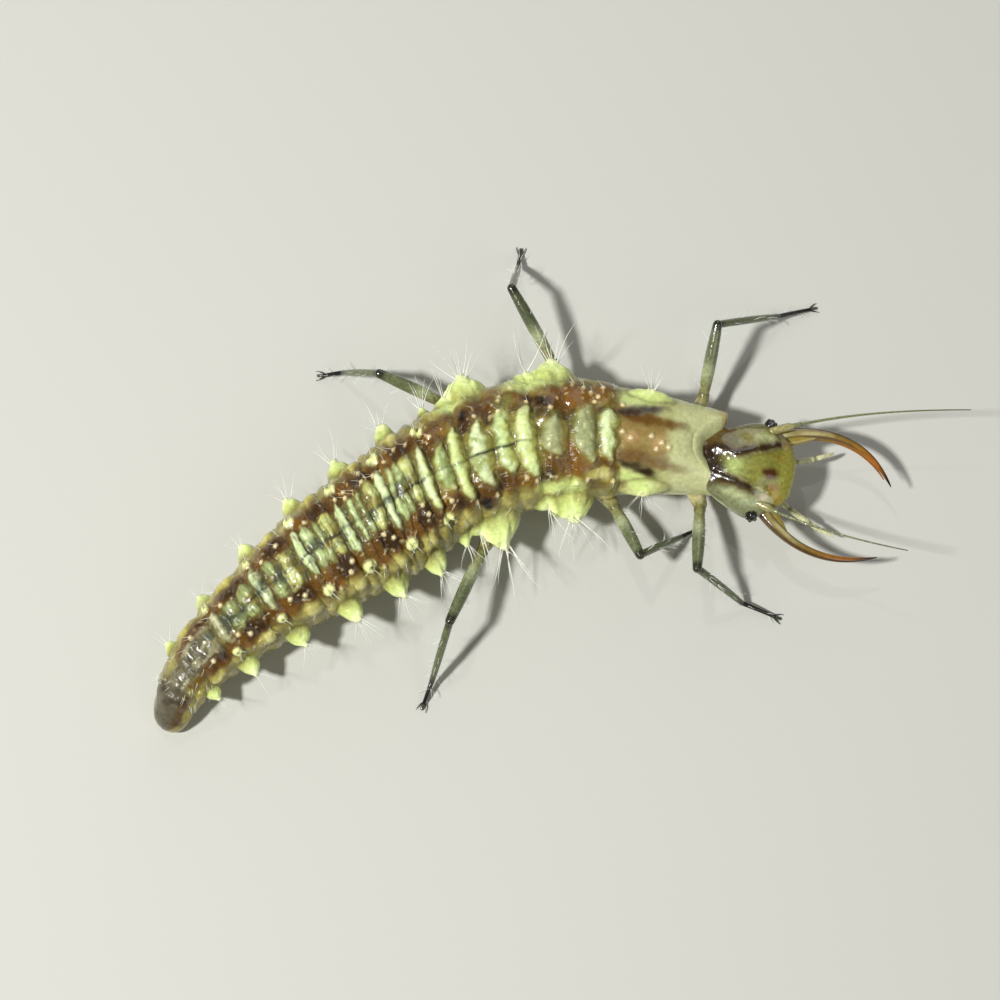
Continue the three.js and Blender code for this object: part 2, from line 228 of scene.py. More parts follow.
def cuticleMaterial(name, look):
    # Tint comes from the colour attribute of the piece; grain, wrinkles and gloss are added here. Real
    # cuticle has a grain of 0.02 mm or less, too fine to show, so it is drawn at 0.04 to 0.11 mm.
    material = bpy.data.materials.new(name)
    material.use_nodes = True
    tree = material.node_tree
    shader = tree.nodes["Principled BSDF"]
    place = addNode(tree, "ShaderNodeTexCoord")
    tint = addNode(tree, "ShaderNodeVertexColor", {"layer_name": "tint"})
    grain = addNode(tree, "ShaderNodeTexNoise", {}, {
        "Vector": place.outputs["Object"], "Scale": 1 / (look["grainMm"] * mm),
        "Detail": 3.0, "Roughness": 0.6})
    shade = addNode(tree, "ShaderNodeMapRange", {}, {
        "Value": grain.outputs["Fac"], "From Min": 0.3, "From Max": 0.7,
        "To Min": 1 - look["shade"], "To Max": 1 + look["shade"]})
    toned = addNode(tree, "ShaderNodeHueSaturation", {}, {
        "Color": tint.outputs["Color"], "Value": shade.outputs[0]})
    wrinkles = addNode(tree, "ShaderNodeTexNoise", {}, {
        "Vector": place.outputs["Object"], "Scale": 1 / (look["wrinkleMm"] * mm),
        "Detail": 2.0, "Roughness": 0.45})
    bump = addNode(tree, "ShaderNodeBump", {}, {
        "Height": wrinkles.outputs["Fac"], "Distance": look["bumpMm"] * mm, "Strength": 1.0})
    patchy = addNode(tree, "ShaderNodeMapRange", {}, {
        "Value": wrinkles.outputs["Fac"], "From Min": 0.3, "From Max": 0.7,
        "To Min": look["gloss"][0], "To Max": look["gloss"][1]})
    tree.links.new(toned.outputs[0], shader.inputs["Base Color"])
    tree.links.new(bump.outputs[0], shader.inputs["Normal"])
    tree.links.new(patchy.outputs[0], shader.inputs["Roughness"])
    shader.inputs["IOR"].default_value = look["ior"]
    shader.inputs["Specular IOR Level"].default_value = look["shine"]
    shader.inputs["Coat Weight"].default_value = look["coat"]
    shader.inputs["Coat Roughness"].default_value = look["coatGloss"]
    shader.inputs["Subsurface Weight"].default_value = look["glow"]
    shader.inputs["Subsurface Radius"].default_value = (1.0, 0.85, 0.6)
    shader.inputs["Subsurface Scale"].default_value = look["glowMm"] * mm
    return material


# Living cuticle over soft tissue: thin and moist, so folds look deep and small wrinkles glint.
skin = cuticleMaterial("moist larva cuticle", {
    "grainMm": 0.06, "shade": 0.14, "wrinkleMm": 0.08, "bumpMm": 0.014, "gloss": (0.2, 0.42), "ior": 1.45,
    "shine": 0.45, "coat": 0.4, "coatGloss": 0.06, "glow": 0.04, "glowMm": 0.05})
# Fine wrinkles run along the body and break the light on its folds into small glints; the collar is smoother.
fineLook = {"wrinkleMm": 0.04, "bumpMm": 0.012}
lie = addNode(skin.node_tree, "ShaderNodeAttribute", {"attribute_name": "lie"})
fine = addNode(skin.node_tree, "ShaderNodeTexNoise", {}, {
    "Vector": lie.outputs["Vector"], "Scale": 1 / fineLook["wrinkleMm"], "Detail": 2.0})
parts = addNode(skin.node_tree, "ShaderNodeSeparateXYZ", {}, {"Vector": lie.outputs["Vector"]})
fineBump = addNode(skin.node_tree, "ShaderNodeBump", {}, {
    "Height": fine.outputs["Fac"], "Distance": fineLook["bumpMm"] * mm, "Strength": parts.outputs["Z"],
    "Normal": skin.node_tree.nodes["Bump"].outputs[0]})
skin.node_tree.links.new(parts.outputs["Z"], skin.node_tree.nodes["Bump"].inputs["Strength"])
skin.node_tree.links.new(fineBump.outputs[0], skin.node_tree.nodes["Principled BSDF"].inputs["Normal"])
# Hard, polished cuticle of the head: smooth as lacquer, so it glints in small sharp points.
headHorn = cuticleMaterial("polished head cuticle", {
    "grainMm": 0.05, "shade": 0.24, "wrinkleMm": 0.11, "bumpMm": 0.012, "gloss": (0.12, 0.3), "ior": 1.5,
    "shine": 0.5, "coat": 0.5, "coatGloss": 0.06, "glow": 0.08, "glowMm": 0.06})
# Tanned jaw cuticle: glassy amber between darker edges, darkest at the tip.
jawHorn = cuticleMaterial("tanned jaw cuticle", {
    "grainMm": 0.07, "shade": 0.16, "wrinkleMm": 0.1, "bumpMm": 0.004, "gloss": (0.1, 0.22), "ior": 1.54,
    "shine": 0.5, "coat": 0.7, "coatGloss": 0.06, "glow": 0.2, "glowMm": 0.05})
# Leg and feeler cuticle: thin over clear tissue, so it looks grey-green and half clear between dark joints.
limbHorn = cuticleMaterial("thin leg cuticle", {
    "grainMm": 0.045, "shade": 0.3, "wrinkleMm": 0.06, "bumpMm": 0.01, "gloss": (0.12, 0.3), "ior": 1.5,
    "shine": 0.5, "coat": 0.6, "coatGloss": 0.06, "glow": 0.15, "glowMm": 0.06})
# Eye lenses: black pigment under wet-looking domes.
eyeLens = cuticleMaterial("eye lens cuticle", {
    "grainMm": 0.05, "shade": 0.05, "wrinkleMm": 0.1, "bumpMm": 0.001, "gloss": (0.06, 0.1), "ior": 1.5,
    "shine": 0.5, "coat": 0.9, "coatGloss": 0.04, "glow": 0.0, "glowMm": 0.02})

# Bristles: clear white chitin that catches the light.
bristleLook = {
    "colour": "#f2efe4", "roughness": (0.22, 0.4), "streakMm": 0.03, "ior": 1.54, "glow": 0.3, "glowMm": 0.02,
}
bristleHorn = bpy.data.materials.new("white bristle chitin")
bristleHorn.use_nodes = True
tree = bristleHorn.node_tree
shader = tree.nodes["Principled BSDF"]
shader.inputs["Base Color"].default_value = hexColour(bristleLook["colour"])
shader.inputs["IOR"].default_value = bristleLook["ior"]
shader.inputs["Subsurface Weight"].default_value = bristleLook["glow"]
shader.inputs["Subsurface Scale"].default_value = bristleLook["glowMm"] * mm
place = addNode(tree, "ShaderNodeTexCoord")
streak = addNode(tree, "ShaderNodeTexNoise", {}, {
    "Vector": place.outputs["Object"], "Scale": 1 / (bristleLook["streakMm"] * mm)})
patchy = addNode(tree, "ShaderNodeMapRange", {}, {
    "Value": streak.outputs["Fac"],
    "To Min": bristleLook["roughness"][0], "To Max": bristleLook["roughness"][1]})
tree.links.new(patchy.outputs[0], shader.inputs["Roughness"])
print("materials made")


# The body: one skin from neck to tail, in mm and degrees. side and upper are the tubercles of a segment:
# how far they reach, their root's radius and their place along it, from 0 at its front to 1.
segments = [
    {"name": "prothorax", "front": (2.94, 0.53), "facing": -8, "roll": 10, "breadth": 1.44, "depth": 0.92,
     "belly": 0.40, "side": (0.11, 0.19, 0.66), "angle": 24},
    {"name": "mesothorax", "front": (1.67, 0.66), "facing": 6, "roll": 8, "breadth": 1.82, "depth": 1.20,
     "belly": 0.36, "side": (0.32, 0.33, 0.64)},
    {"name": "metathorax", "front": (0.46, 0.62), "facing": 14, "roll": 7, "breadth": 1.90, "depth": 1.34,
     "belly": 0.30, "side": (0.40, 0.32, 0.68)},
    {"name": "abdomen_1", "front": (-0.54, 0.25), "facing": 19, "roll": 5, "breadth": 1.88, "depth": 1.42,
     "belly": 0.25, "side": (0.14, 0.12, 0.5), "upper": (0.08, 0.10, 0.86)},
    {"name": "abdomen_2", "front": (-1.03, -0.03), "facing": 24, "roll": 2, "breadth": 1.90, "depth": 1.46,
     "belly": 0.21, "side": (0.28, 0.21, 0.45), "upper": (0.09, 0.11, 0.86)},
    {"name": "abdomen_3", "front": (-1.60, -0.45), "facing": 28, "roll": 0, "breadth": 1.80, "depth": 1.42,
     "belly": 0.18, "side": (0.27, 0.21, 0.45), "upper": (0.09, 0.11, 0.80)},
    {"name": "abdomen_4", "front": (-2.23, -0.86), "facing": 31, "roll": 0, "breadth": 1.62, "depth": 1.32,
     "belly": 0.16, "side": (0.27, 0.20, 0.45), "upper": (0.09, 0.10, 0.66)},
    {"name": "abdomen_5", "front": (-2.90, -1.32), "facing": 34, "roll": 0, "breadth": 1.33, "depth": 1.16,
     "belly": 0.14, "side": (0.25, 0.19, 0.45), "upper": (0.08, 0.09, 0.56)},
    {"name": "abdomen_6", "front": (-3.60, -1.88), "facing": 38, "roll": 0, "breadth": 1.06, "depth": 0.96,
     "belly": 0.11, "side": (0.20, 0.17, 0.42), "upper": (0.07, 0.08, 0.47)},
    {"name": "abdomen_7", "front": (-4.20, -2.44), "facing": 45, "roll": 0, "breadth": 0.82, "depth": 0.78,
     "belly": 0.08, "side": (0.16, 0.14, 0.42)},
    {"name": "abdomen_8", "front": (-4.50, -2.84), "facing": 54, "roll": 0, "breadth": 0.66, "depth": 0.64,
     "belly": 0.05},
    {"name": "abdomen_tail", "front": (-4.63, -3.12), "facing": 60, "roll": 0, "breadth": 0.56, "depth": 0.52,
     "belly": -0.03},
]
tailEnd = (-4.75, -3.41)
bodyLayout = {
    "rings": 524, "lipRings": 15, "backShare": 0.6, "neckBreadth": 1.24, "neckDepth": 0.74, "lobeReach": 0.62,
    "notch": 0.21, "lobeSpan": 0.45, "lipReach": 0.1, "sideAngle": 6, "upperAngle": 48, "padHeight": 0.004,
    "tailFrom": 10.7, "tailSpan": 1.3, "tailTaper": 0.995,
    "warmth": (1.04, 1.03, 0.78),
}
fronts = np.array([s["front"] for s in segments] + [tailEnd], float)


def backLine(at):
    # centripetal spline through the segments' front edges
    at = np.asarray(at, float)
    ends = np.vstack([2 * fronts[0] - fronts[1], fronts, 2 * fronts[-1] - fronts[-2]])
    i = np.clip(np.floor(at).astype(int), 0, len(fronts) - 2)
    w = (at - i)[..., None]
    p0, p1, p2, p3 = ends[i], ends[i + 1], ends[i + 2], ends[i + 3]
    pairs = ((p0, p1), (p1, p2), (p2, p3))
    d0, d1, d2 = (np.sqrt(np.linalg.norm(b - a, axis=-1))[..., None] for a, b in pairs)
    m1 = ((p1 - p0) / d0 - (p2 - p0) / (d0 + d1) + (p2 - p1) / d1) * d1
    m2 = ((p2 - p1) / d1 - (p3 - p1) / (d1 + d2) + (p3 - p2) / d2) * d1
    return p1 + m1 * w + (3 * (p2 - p1) - 2 * m1 - m2) * w * w + (2 * (p1 - p2) + m1 + m2) * w ** 3


def alongBody(key, first=None):
    head = [] if first is None else [(0, first)]
    return smoothThrough(head + [(i + 0.5, s[key]) for i, s in enumerate(segments)])


facing, roll, belly = alongBody("facing"), alongBody("roll"), alongBody("belly")
breadth = alongBody("breadth", bodyLayout["neckBreadth"])
depth = alongBody("depth", bodyLayout["neckDepth"])


def bodyPoint(at, angle, squeeze=1.0):
    # a place on the plain body: at counts segments from the neck, angle turns up from the left side
    at, angle = np.asarray(at, float), np.asarray(angle, float)
    turned = np.radians(facing(at))
    xy = backLine(at)
    half = breadth(at) / 2 * squeeze
    tall = depth(at)
    rise = np.sin(angle)
    share = bodyLayout["backShare"]
    reach = tall * np.where(rise > 0, share * squeeze, 1 - share)
    c = np.sign(np.cos(angle)) * np.abs(np.cos(angle)) ** 0.88
    r = np.sign(rise) * np.abs(rise) ** np.where(rise > 0, 0.95, 0.7)
    # the lobe's tip lies inside the widest line, so that its corner is rounded
    lobe = bodyLayout["lobeReach"] * (np.cos(angle) ** 2 - 0.75 * np.cos(angle) ** 6) * ease(-0.7, -0.1, rise)
    notch = bodyLayout["notch"] * np.clip(rise, 0, 1) ** 2
    ahead = (lobe - notch) * np.clip(1 - at / bodyLayout["lobeSpan"], 0, 1) ** 2
    return np.stack([xy[..., 0] - half * c * np.sin(turned) + ahead * np.cos(turned),
                     xy[..., 1] + half * c * np.cos(turned) + ahead * np.sin(turned),
                     belly(at) + tall * (1 - share) + reach * r], -1)


def outwards(at, angle):
    toLeft = direction(float(facing(at)) + 90)
    return unit(toLeft * math.cos(angle) + np.array([0, 0, math.sin(angle)]))


# Creases between the rolls of the body: (segments from the neck, depth as a share of the half breadth)
creases = [
    (1.0, 0.09), (1.26, 0.04), (1.60, 0.05), (1.95, 0.08), (2.285, 0.05), (2.56, 0.06), (2.935, 0.08),
    (3.32, 0.05), (3.86, 0.08), (4.20, 0.06), (4.45, 0.04), (4.66, 0.04), (4.86, 0.05), (5.05, 0.08),
    (5.33, 0.05), (5.52, 0.04), (5.75, 0.05), (5.97, 0.08), (6.25, 0.05), (6.42, 0.04), (6.62, 0.05),
    (6.84, 0.08), (7.17, 0.05), (7.44, 0.05), (7.72, 0.08), (7.98, 0.05), (8.34, 0.06), (8.62, 0.08),
    (8.95, 0.05), (9.30, 0.07), (9.65, 0.05), (10.0, 0.07), (10.5, 0.05), (11.0, 0.06),
]

# Even rings along the back, and closer sides over the back than under the belly: (from, to, number).
lengths = np.linalg.norm(np.diff(fronts, axis=0), axis=1)
reached = np.concatenate([[0], np.cumsum(lengths)])
ringAt = np.interp(np.linspace(0, reached[-1], bodyLayout["rings"]), reached, np.arange(len(fronts)))
ringAt = np.concatenate([np.zeros(bodyLayout["lipRings"]), ringAt])
turnSteps = [(-14, 60, 30), (60, 125, 66), (125, 194, 34), (194, 346, 38)]
ringAngle = np.radians(np.concatenate([np.linspace(a, b, n, endpoint=False) for a, b, n in turnSteps]))
at, angle = np.meshgrid(ringAt, ringAngle, indexing="ij")
turn = np.degrees(angle)
middle = 90 + roll(at)
down = np.abs(turn - middle)

# Rolls and seams: soft creases that fade down the flanks, a lip tucked in at the neck and a round tail end.
plain = bodyPoint(at, angle)
wander = valueNoise(plain, 0.17, 1) - 0.5
wanderFine = valueNoise(plain, 0.07, 2) - 0.5
atFold = at + (0.1 * wander + 0.04 * wanderFine) * ease(0.3, 0.9, at) * ease(11.5, 10.5, at)
creaseAt = np.array([-1.0] + [c[0] for c in creases] + [14.0])
creaseDepth = np.array([0.0] + [c[1] for c in creases] + [0.0])
before = np.searchsorted(creaseAt, atFold, side="right") - 1
rollWave = np.sin(math.pi * (atFold - creaseAt[before]) / (creaseAt[before + 1] - creaseAt[before]))
crease = np.interp(atFold, creaseAt, creaseDepth) * (1 - 0.4 * ease(45, 80, down))
squeeze = 1 - crease * (1 - np.clip(rollWave, 0, 1))
lip = np.linspace(1, 0, bodyLayout["lipRings"], endpoint=False)
lip = np.concatenate([lip, np.zeros(bodyLayout["rings"])])
tailRound = np.clip((ringAt - bodyLayout["tailFrom"]) / bodyLayout["tailSpan"], 0, 1)
shrink = 1 - 0.5 * (1 - np.cos(lip * math.pi / 2))
shrink = shrink * np.sqrt(1 - bodyLayout["tailTaper"] * tailRound ** 3)
lastStretch = ease(11.0, 12.0, at)
ringMiddle = np.concatenate([backLine(ringAt), (belly(ringAt) + depth(ringAt) * 0.4)[:, None]], axis=1)
places = bodyPoint(at, angle, squeeze)
places = ringMiddle[:, None] + (places - ringMiddle[:, None]) * shrink[:, None, None]
lipAhead = np.sin(lip * math.pi / 2) * bodyLayout["lipReach"]
places += lipAhead[:, None, None] * direction(float(facing(0.0)))
normals = gridNormals(places)

# Edges of the markings wander by a little noise.
speckle = valueNoise(plain, 0.045, 3)
cells = valueNoise(plain, 0.1, 6)
clouds = valueNoise(plain, 0.25, 8)
atBent = at + 0.07 * wander + 0.05 * wanderFine
atSmooth = at + 0.045 * wander + 0.03 * wanderFine
alongMm = np.interp(at, np.arange(len(reached)), reached)
acrossMm = (angle - math.pi / 2) * breadth(at) / 2
streaks = valueNoise(np.stack([alongMm / 3, acrossMm, 0 * at], -1), 0.045, 16)
turnBent = turn + 7 * (valueNoise(plain, 0.15, 4) - 0.5) + 5 * (valueNoise(plain, 0.06, 5) - 0.5)


def blot(where, high, halfLong, halfTall, soft=0.4):
    # soft oval at (segments from the neck, degrees round from the left side)
    return ovalMask(atBent, turnBent, (where, high), (halfLong, halfTall), soft)


def zone(low, high, soft=5.0, front=-1.0, rear=13.0, softLong=0.08):
    # 1 between two turns round the body and two places along it
    inside = ease(low - soft, low + soft, turnBent) * ease(high + soft, high - soft, turnBent)
    inside = inside * ease(front - softLong, front + softLong, atBent)
    return inside * ease(rear + softLong, rear - softLong, atBent)


def spindle(front, rear, low, high, soft=0.04):
    # a bar across the back that tapers to both ends. Returned are its mask, its rounded height, the place
    # on its width from -1 in front to 1 behind, and how near a place is to its ends.
    bent = 0.5 * (turn + turnBent)
    side = np.clip(np.abs(2 * (bent - low) / (high - low) - 1), 0, 1)
    width = (rear - front + 0.05) * (1 - side ** 2.3) ** 0.8
    begin = front - 0.025 + 0.1 * (rear - front) * side ** 2
    inside = np.minimum(atSmooth - begin, begin + width - atSmooth)
    centred = (atSmooth - begin) / np.maximum(width, 0.02) * 2 - 1
    dome = np.clip(1 - centred ** 2, 0, 1) * ease(0.0, 0.18, width)
    ragged = inside + 0.05 * (cells - 0.5) + 0.03 * (speckle - 0.5)
    mask = ease(-soft, soft * 2, ragged) * ease(0.0, 0.12, width)
    return mask, dome, centred, ease(0.6, 1.0, side)


bodyColours = {
    "flank": "#8a8144", "flankPale": "#b3ab6a", "flankOlive": "#726f38", "groove": "#453a1e",
    "grooveTan": "#8c7838", "brown": "#58390d", "orange": "#754d10", "dark": "#2b1a07", "black": "#170c06",
    "middle": "#5f5c36", "mint": "#c2d6a4", "mintWhite": "#dcebcb", "mintYellow": "#d6e5ac",
    "greyMint": "#a6ae8c", "pale": "#b8c09e", "greenMint": "#a0b07e", "yellow": "#bec282",
    "barEdge": "#858348", "barFront": "#ccd070", "cream": "#d9eca0", "creamTipHighlight": "#f3fbdc",
    "creamShade": "#b7c677", "silverPale": "#c3c5ac", "slate": "#35413a", "collar": "#b3b486",
    "collarMid": "#8c7549", "collarFront": "#c0c4a0", "pinkGlint": "#c9a584", "stripe": "#644313",
    "stripeDark": "#2f2009", "patch": "#cddf9a", "rim": "#a8762e", "tail": "#58534a", "tailSide": "#9c8f45",
    "silver": "#a3a08c", "line": "#22271a", "knob": "#e4eab4", "pit": "#46481f", "bump": "#efdfba",
    "belly": "#b5ab74", "swelling": "#aca562", "swellingHighlight": "#cfcb94",
}
# Bars across the back of the thorax and the front of the abdomen:
# (front, rear, low turn, high turn, colour, second colour, strength)
bars = [
    (1.03, 1.25, 74, 119, "mintWhite", "mint", 1.0), (1.27, 1.54, 74, 120, "greyMint", "pale", 0.8),
    (1.66, 1.93, 85, 112, "pale", "greyMint", 0.7), (1.98, 2.28, 73, 130, "mintYellow", "mint", 1.0),
    (2.29, 2.52, 67, 123, "mint", "mintWhite", 0.95), (2.60, 2.90, 73, 123, "mintWhite", "greenMint", 0.95),
    (2.97, 3.30, 69, 128, "mintYellow", "mint", 1.0), (3.34, 3.80, 80, 111, "greenMint", "mint", 0.85),
    (3.92, 4.16, 69, 123, "mintWhite", "mintYellow", 1.0),
]
# Soft pads in pairs along the middle of the abdomen: (place, half length, colour, strength)
padTurns = (79, 99)
pads = [
    (4.33, 0.12, "yellow", 0.95), (4.56, 0.09, "greenMint", 0.8), (4.74, 0.09, "mint", 0.8),
    (4.95, 0.09, "mint", 0.9), (5.20, 0.12, "yellow", 0.95), (5.42, 0.08, "greenMint", 0.8),
    (5.62, 0.10, "mint", 0.85), (5.85, 0.09, "mint", 0.9), (6.12, 0.12, "yellow", 0.9),
    (6.33, 0.08, "greenMint", 0.75), (6.50, 0.10, "mint", 0.75), (6.72, 0.08, "mint", 0.8),
    (7.04, 0.12, "yellow", 0.75), (7.31, 0.11, "greenMint", 0.75), (7.58, 0.08, "pale", 0.7),
    (7.88, 0.12, "greenMint", 0.6), (8.14, 0.12, "greenMint", 0.6), (8.47, 0.07, "silver", 0.7),
    (8.80, 0.10, "greyMint", 0.3), (9.10, 0.10, "silver", 0.3),
]
# A firm pale ridge across most segments of the abdomen: (place, low turn, high turn, colour, strength)
ridges = [
    (4.96, 62, 119, "mintWhite", 1.0), (5.86, 61, 118, "mintWhite", 1.0), (6.72, 58, 114, "mintWhite", 1.0),
    (7.58, 56, 120, "mintWhite", 0.85), (8.47, 58, 118, "silverPale", 0.9),
    (9.32, 66, 112, "silverPale", 0.5), (9.98, 66, 108, "silverPale", 0.5),
]
# Patches, painted in this order: (place, turn, half length, half height, colour, strength)
patches = [
    (1.35, 60, 0.20, 14, "orange", 0.7), (1.55, 62, 0.17, 15, "orange", 1.0),
    (1.78, 69, 0.14, 10, "brown", 1.0), (1.83, 69, 0.08, 7, "dark", 1.0), (1.97, 62, 0.07, 6, "dark", 0.8),
    (1.35, 73, 0.10, 8, "orange", 0.8), (1.60, 110, 0.22, 9, "orange", 1.0),
    (1.75, 121, 0.24, 12, "brown", 0.9), (1.42, 128, 0.24, 12, "orange", 0.9),
    (1.15, 128, 0.14, 9, "brown", 0.9), (1.90, 134, 0.09, 8, "dark", 0.9),
    (2.08, 136, 0.10, 6, "orange", 0.8), (1.02, 62, 0.07, 10, "brown", 0.7),
    (2.30, 62, 0.14, 8, "flankOlive", 0.9), (2.55, 57, 0.17, 16, "brown", 1.0),
    (2.80, 62, 0.14, 13, "brown", 1.0), (2.88, 70, 0.10, 8, "dark", 0.8), (2.82, 58, 0.07, 6, "black", 1.0),
    (2.95, 48, 0.12, 6, "brown", 0.7), (2.55, 72, 0.06, 6, "dark", 0.7),
    (2.45, 126, 0.20, 12, "brown", 1.0), (2.78, 137, 0.19, 14, "brown", 1.0),
    (2.60, 128, 0.10, 8, "dark", 0.7), (2.84, 144, 0.08, 8, "black", 1.0),
    (2.95, 128, 0.07, 8, "dark", 0.9), (2.30, 136, 0.12, 7, "orange", 0.7),
    (3.12, 134, 0.14, 9, "brown", 0.9), (3.15, 60, 0.16, 8, "brown", 0.7),
    (3.55, 66, 0.30, 8, "orange", 0.8), (3.60, 76, 0.24, 6, "brown", 0.9),
    (3.50, 58, 0.24, 6, "brown", 0.8), (3.45, 118, 0.30, 6, "orange", 0.8),
    (3.50, 127, 0.34, 9, "brown", 1.0), (3.30, 132, 0.14, 7, "dark", 0.8),
    (1.20, 50, 0.18, 10, "orange", 0.8), (1.12, 39, 0.16, 10, "brown", 0.7),
    (1.44, 44, 0.17, 9, "brown", 0.85), (2.10, 46, 0.20, 8, "brown", 0.8),
    (2.36, 40, 0.16, 8, "orange", 0.6), (1.30, 152, 0.20, 7, "brown", 0.6),
    (3.82, 66, 0.10, 8, "dark", 0.6), (4.10, 134, 0.14, 8, "dark", 0.8),
    (3.85, 118, 0.10, 7, "orange", 0.7),
]
# Dark patches on both sides of the abdomen's middle, with orange brown by them: (place, size)
darkRolls = [(4.38, 1.0), (5.30, 1.05), (6.25, 0.9), (7.15, 1.0), (8.05, 1.05), (8.85, 0.8)]
for where, size in darkRolls:
    patches += [
        (where, 122, 0.42 * size, 13, "brown", 0.95), (where - 0.08, 120, 0.26 * size, 11, "dark", 0.85),
        (where + 0.27, 122, 0.13, 12, "orange", 0.5), (where - 0.30, 120, 0.08, 8, "orange", 0.4),
        (where, 60, 0.42 * size, 11, "brown", 0.95), (where - 0.06, 59, 0.24 * size, 9, "dark", 0.75),
        (where + 0.28, 60, 0.13, 10, "orange", 0.6), (where + 0.05, 137, 0.3 * size, 5, "orange", 0.6),
        (where, 45, 0.3 * size, 5, "brown", 0.8),
    ]
# Small pale bumps, each with a short bristle: (place, turn)
setae = [
    (2.00, 67), (1.75, 76), (1.22, 60), (2.35, 59), (2.38, 71), (2.68, 66), (2.95, 137), (2.65, 137),
    (2.05, 137), (3.60, 66), (3.60, 122), (1.40, 141), (1.25, 66), (0.95, 64), (4.20, 57), (4.42, 54),
    (4.66, 60), (5.20, 53), (5.22, 64), (5.60, 62), (5.62, 69), (6.42, 62), (7.04, 61), (7.35, 65),
    (8.25, 67), (4.30, 120), (4.35, 110), (5.15, 119), (5.30, 112), (6.05, 118), (6.15, 127), (7.30, 117),
    (7.05, 123), (8.30, 112), (4.80, 138), (5.02, 65), (5.78, 63), (8.10, 122), (8.92, 118), (8.95, 63),
    (5.55, 141), (6.45, 139), (2.20, 131), (0.50, 97), (1.36, 50), (1.46, 43), (1.28, 56), (1.16, 46),
    (2.16, 46), (2.30, 52), (1.06, 146), (1.55, 146), (0.55, 105), (0.42, 101), (0.85, 96), (0.62, 92),
    (0.95, 92),
]
# Pale swellings low on the flanks: (place, turn, half length, half height)
swellings = [
    (1.25, 137, 0.16, 7), (3.38, 154, 0.26, 12), (4.46, 147, 0.22, 10), (5.24, 147, 0.24, 10),
    (6.15, 147, 0.22, 10), (7.05, 147, 0.22, 10), (7.92, 147, 0.22, 11), (9.05, 150, 0.24, 12),
    (9.75, 150, 0.2, 12), (3.38, 34, 0.26, 12), (4.40, 33, 0.2, 9), (5.28, 33, 0.2, 9), (6.2, 34, 0.18, 9),
    (7.1, 34, 0.18, 9), (8.0, 34, 0.2, 9), (9.0, 34, 0.22, 10),
]
# How far each kind of mark stands up, in mm, and the step of the ripples in segments.
relief = {"swelling": 0.05, "bar": 0.045, "pad": 0.014, "ridge": 0.045, "ripple": 0.008, "rippleStep": 0.105}
c = bodyColours

# Flanks and the brown bands first, then the middle band, the patches, the swellings and the bars.
tint = plainTint(at.shape, c["flank"])
tint = paint(tint, c["flankPale"], ease(0.45, 0.8, cells) * 0.8)
tint = paint(tint, c["flankOlive"], ease(0.5, 0.85, clouds) * 0.7)
brownBand = (zone(49, 76, 5) + zone(106, 139, 5)) * ease(1.0, 1.12, atBent) * ease(9.6, 9.0, atBent)
tint = paint(tint, c["grooveTan"], brownBand)
tint = paint(tint, c["brown"], brownBand * ease(0.4, 0.65, clouds) * 0.85)
tint = paint(tint, c["orange"], brownBand * ease(0.55, 0.8, cells) * 0.5 * ease(4.6, 3.6, at))
tint = paint(tint, c["brown"], brownBand * ease(3.8, 4.6, at) * 0.6)
middleBand = zone(71, 110, 4, 1.03, 9.6)
tint = paint(tint, c["groove"], middleBand * ease(4.1, 3.9, at))
tint = paint(tint, c["grooveTan"], middleBand * ease(0.45, 0.7, cells) * 0.7 * ease(4.1, 3.9, at))
tint = paint(tint, c["middle"], middleBand * ease(4.0, 4.2, at))
tint = paint(tint, c["grooveTan"], middleBand * ease(0.5, 0.75, cells) * 0.5 * ease(4.0, 4.2, at))
raised = np.zeros((*at.shape, 3))
for where, high, halfLong, halfTall, colour, strength in patches:
    tint = paint(tint, c[colour], strength * blot(where, high, halfLong, halfTall, 0.5))
for where, high, halfLong, halfTall in swellings:
    away = np.hypot((at - where) / halfLong, (turn - high) / halfTall)
    raised += (np.clip(1 - away ** 2, 0, 1) * relief["swelling"])[..., None] * normals
    tint = paint(tint, c["brown"], 0.75 * blot(where, high, halfLong * 1.3, halfTall * 1.4, 0.4))
    tint = paint(tint, c["swelling"], blot(where, high, halfLong, halfTall, 0.5) * (0.7 + 0.6 * cells))
    # painted highlight: a paler middle on each swelling
    tint = paint(tint, c["swellingHighlight"], 0.8 * blot(where - 0.02, high, halfLong * 0.5, halfTall * 0.5, 0.8))
# pale pinkish specks over the brown: partly pale dots, partly painted glints
tint = paint(tint, c["bump"], 0.45 * ease(0.78, 0.92, valueNoise(plain, 0.06, 18)) * brownBand)
height = np.zeros(at.shape)
for front, rear, low, high, colour, second, strength in bars:
    halo = spindle(front - 0.02, rear + 0.02, low - 8, high + 9, 0.1)[0]
    tint = paint(tint, c["barEdge"], 0.5 * halo * (0.5 + cells))
    mask, dome, centred, ends = spindle(front, rear, low - 4, high + 5, 0.06)
    # Painted shade and highlight on each bar: it darkens to the edge tone away from its crest and in streaks
    # off it, and white specks on the crest are painted glints.
    bar = paint(plainTint(at.shape, c["barEdge"]), c[colour], ease(0.0, 0.75, dome + 0.4 * (cells - 0.5)))
    bar = paint(bar, c[second], ease(0.45, 0.75, cells) * ease(0.3, 0.9, dome))
    if strength > 0.9:
        bar = paint(bar, c["barFront"], 0.75 * ease(0.1, -0.75, centred + 0.5 * wander))
    bar = paint(bar, c["rim"], 0.55 * ends * (0.4 + cells))
    bar = paint(bar, c["barEdge"], 0.6 * ease(0.5, 0.8, streaks) * ease(0.95, 0.5, dome))
    bar = paint(bar, c["mintWhite"], 0.5 * ease(0.6, 0.8, speckle) * dome * strength)
    amount = np.clip(mask * strength * (0.85 + 0.3 * speckle), 0, 1)[..., None]
    tint = tint * (1 - amount) + bar * amount
    height = np.maximum(height, dome ** 1.7 * (0.7 + 0.6 * cells) * relief["bar"])
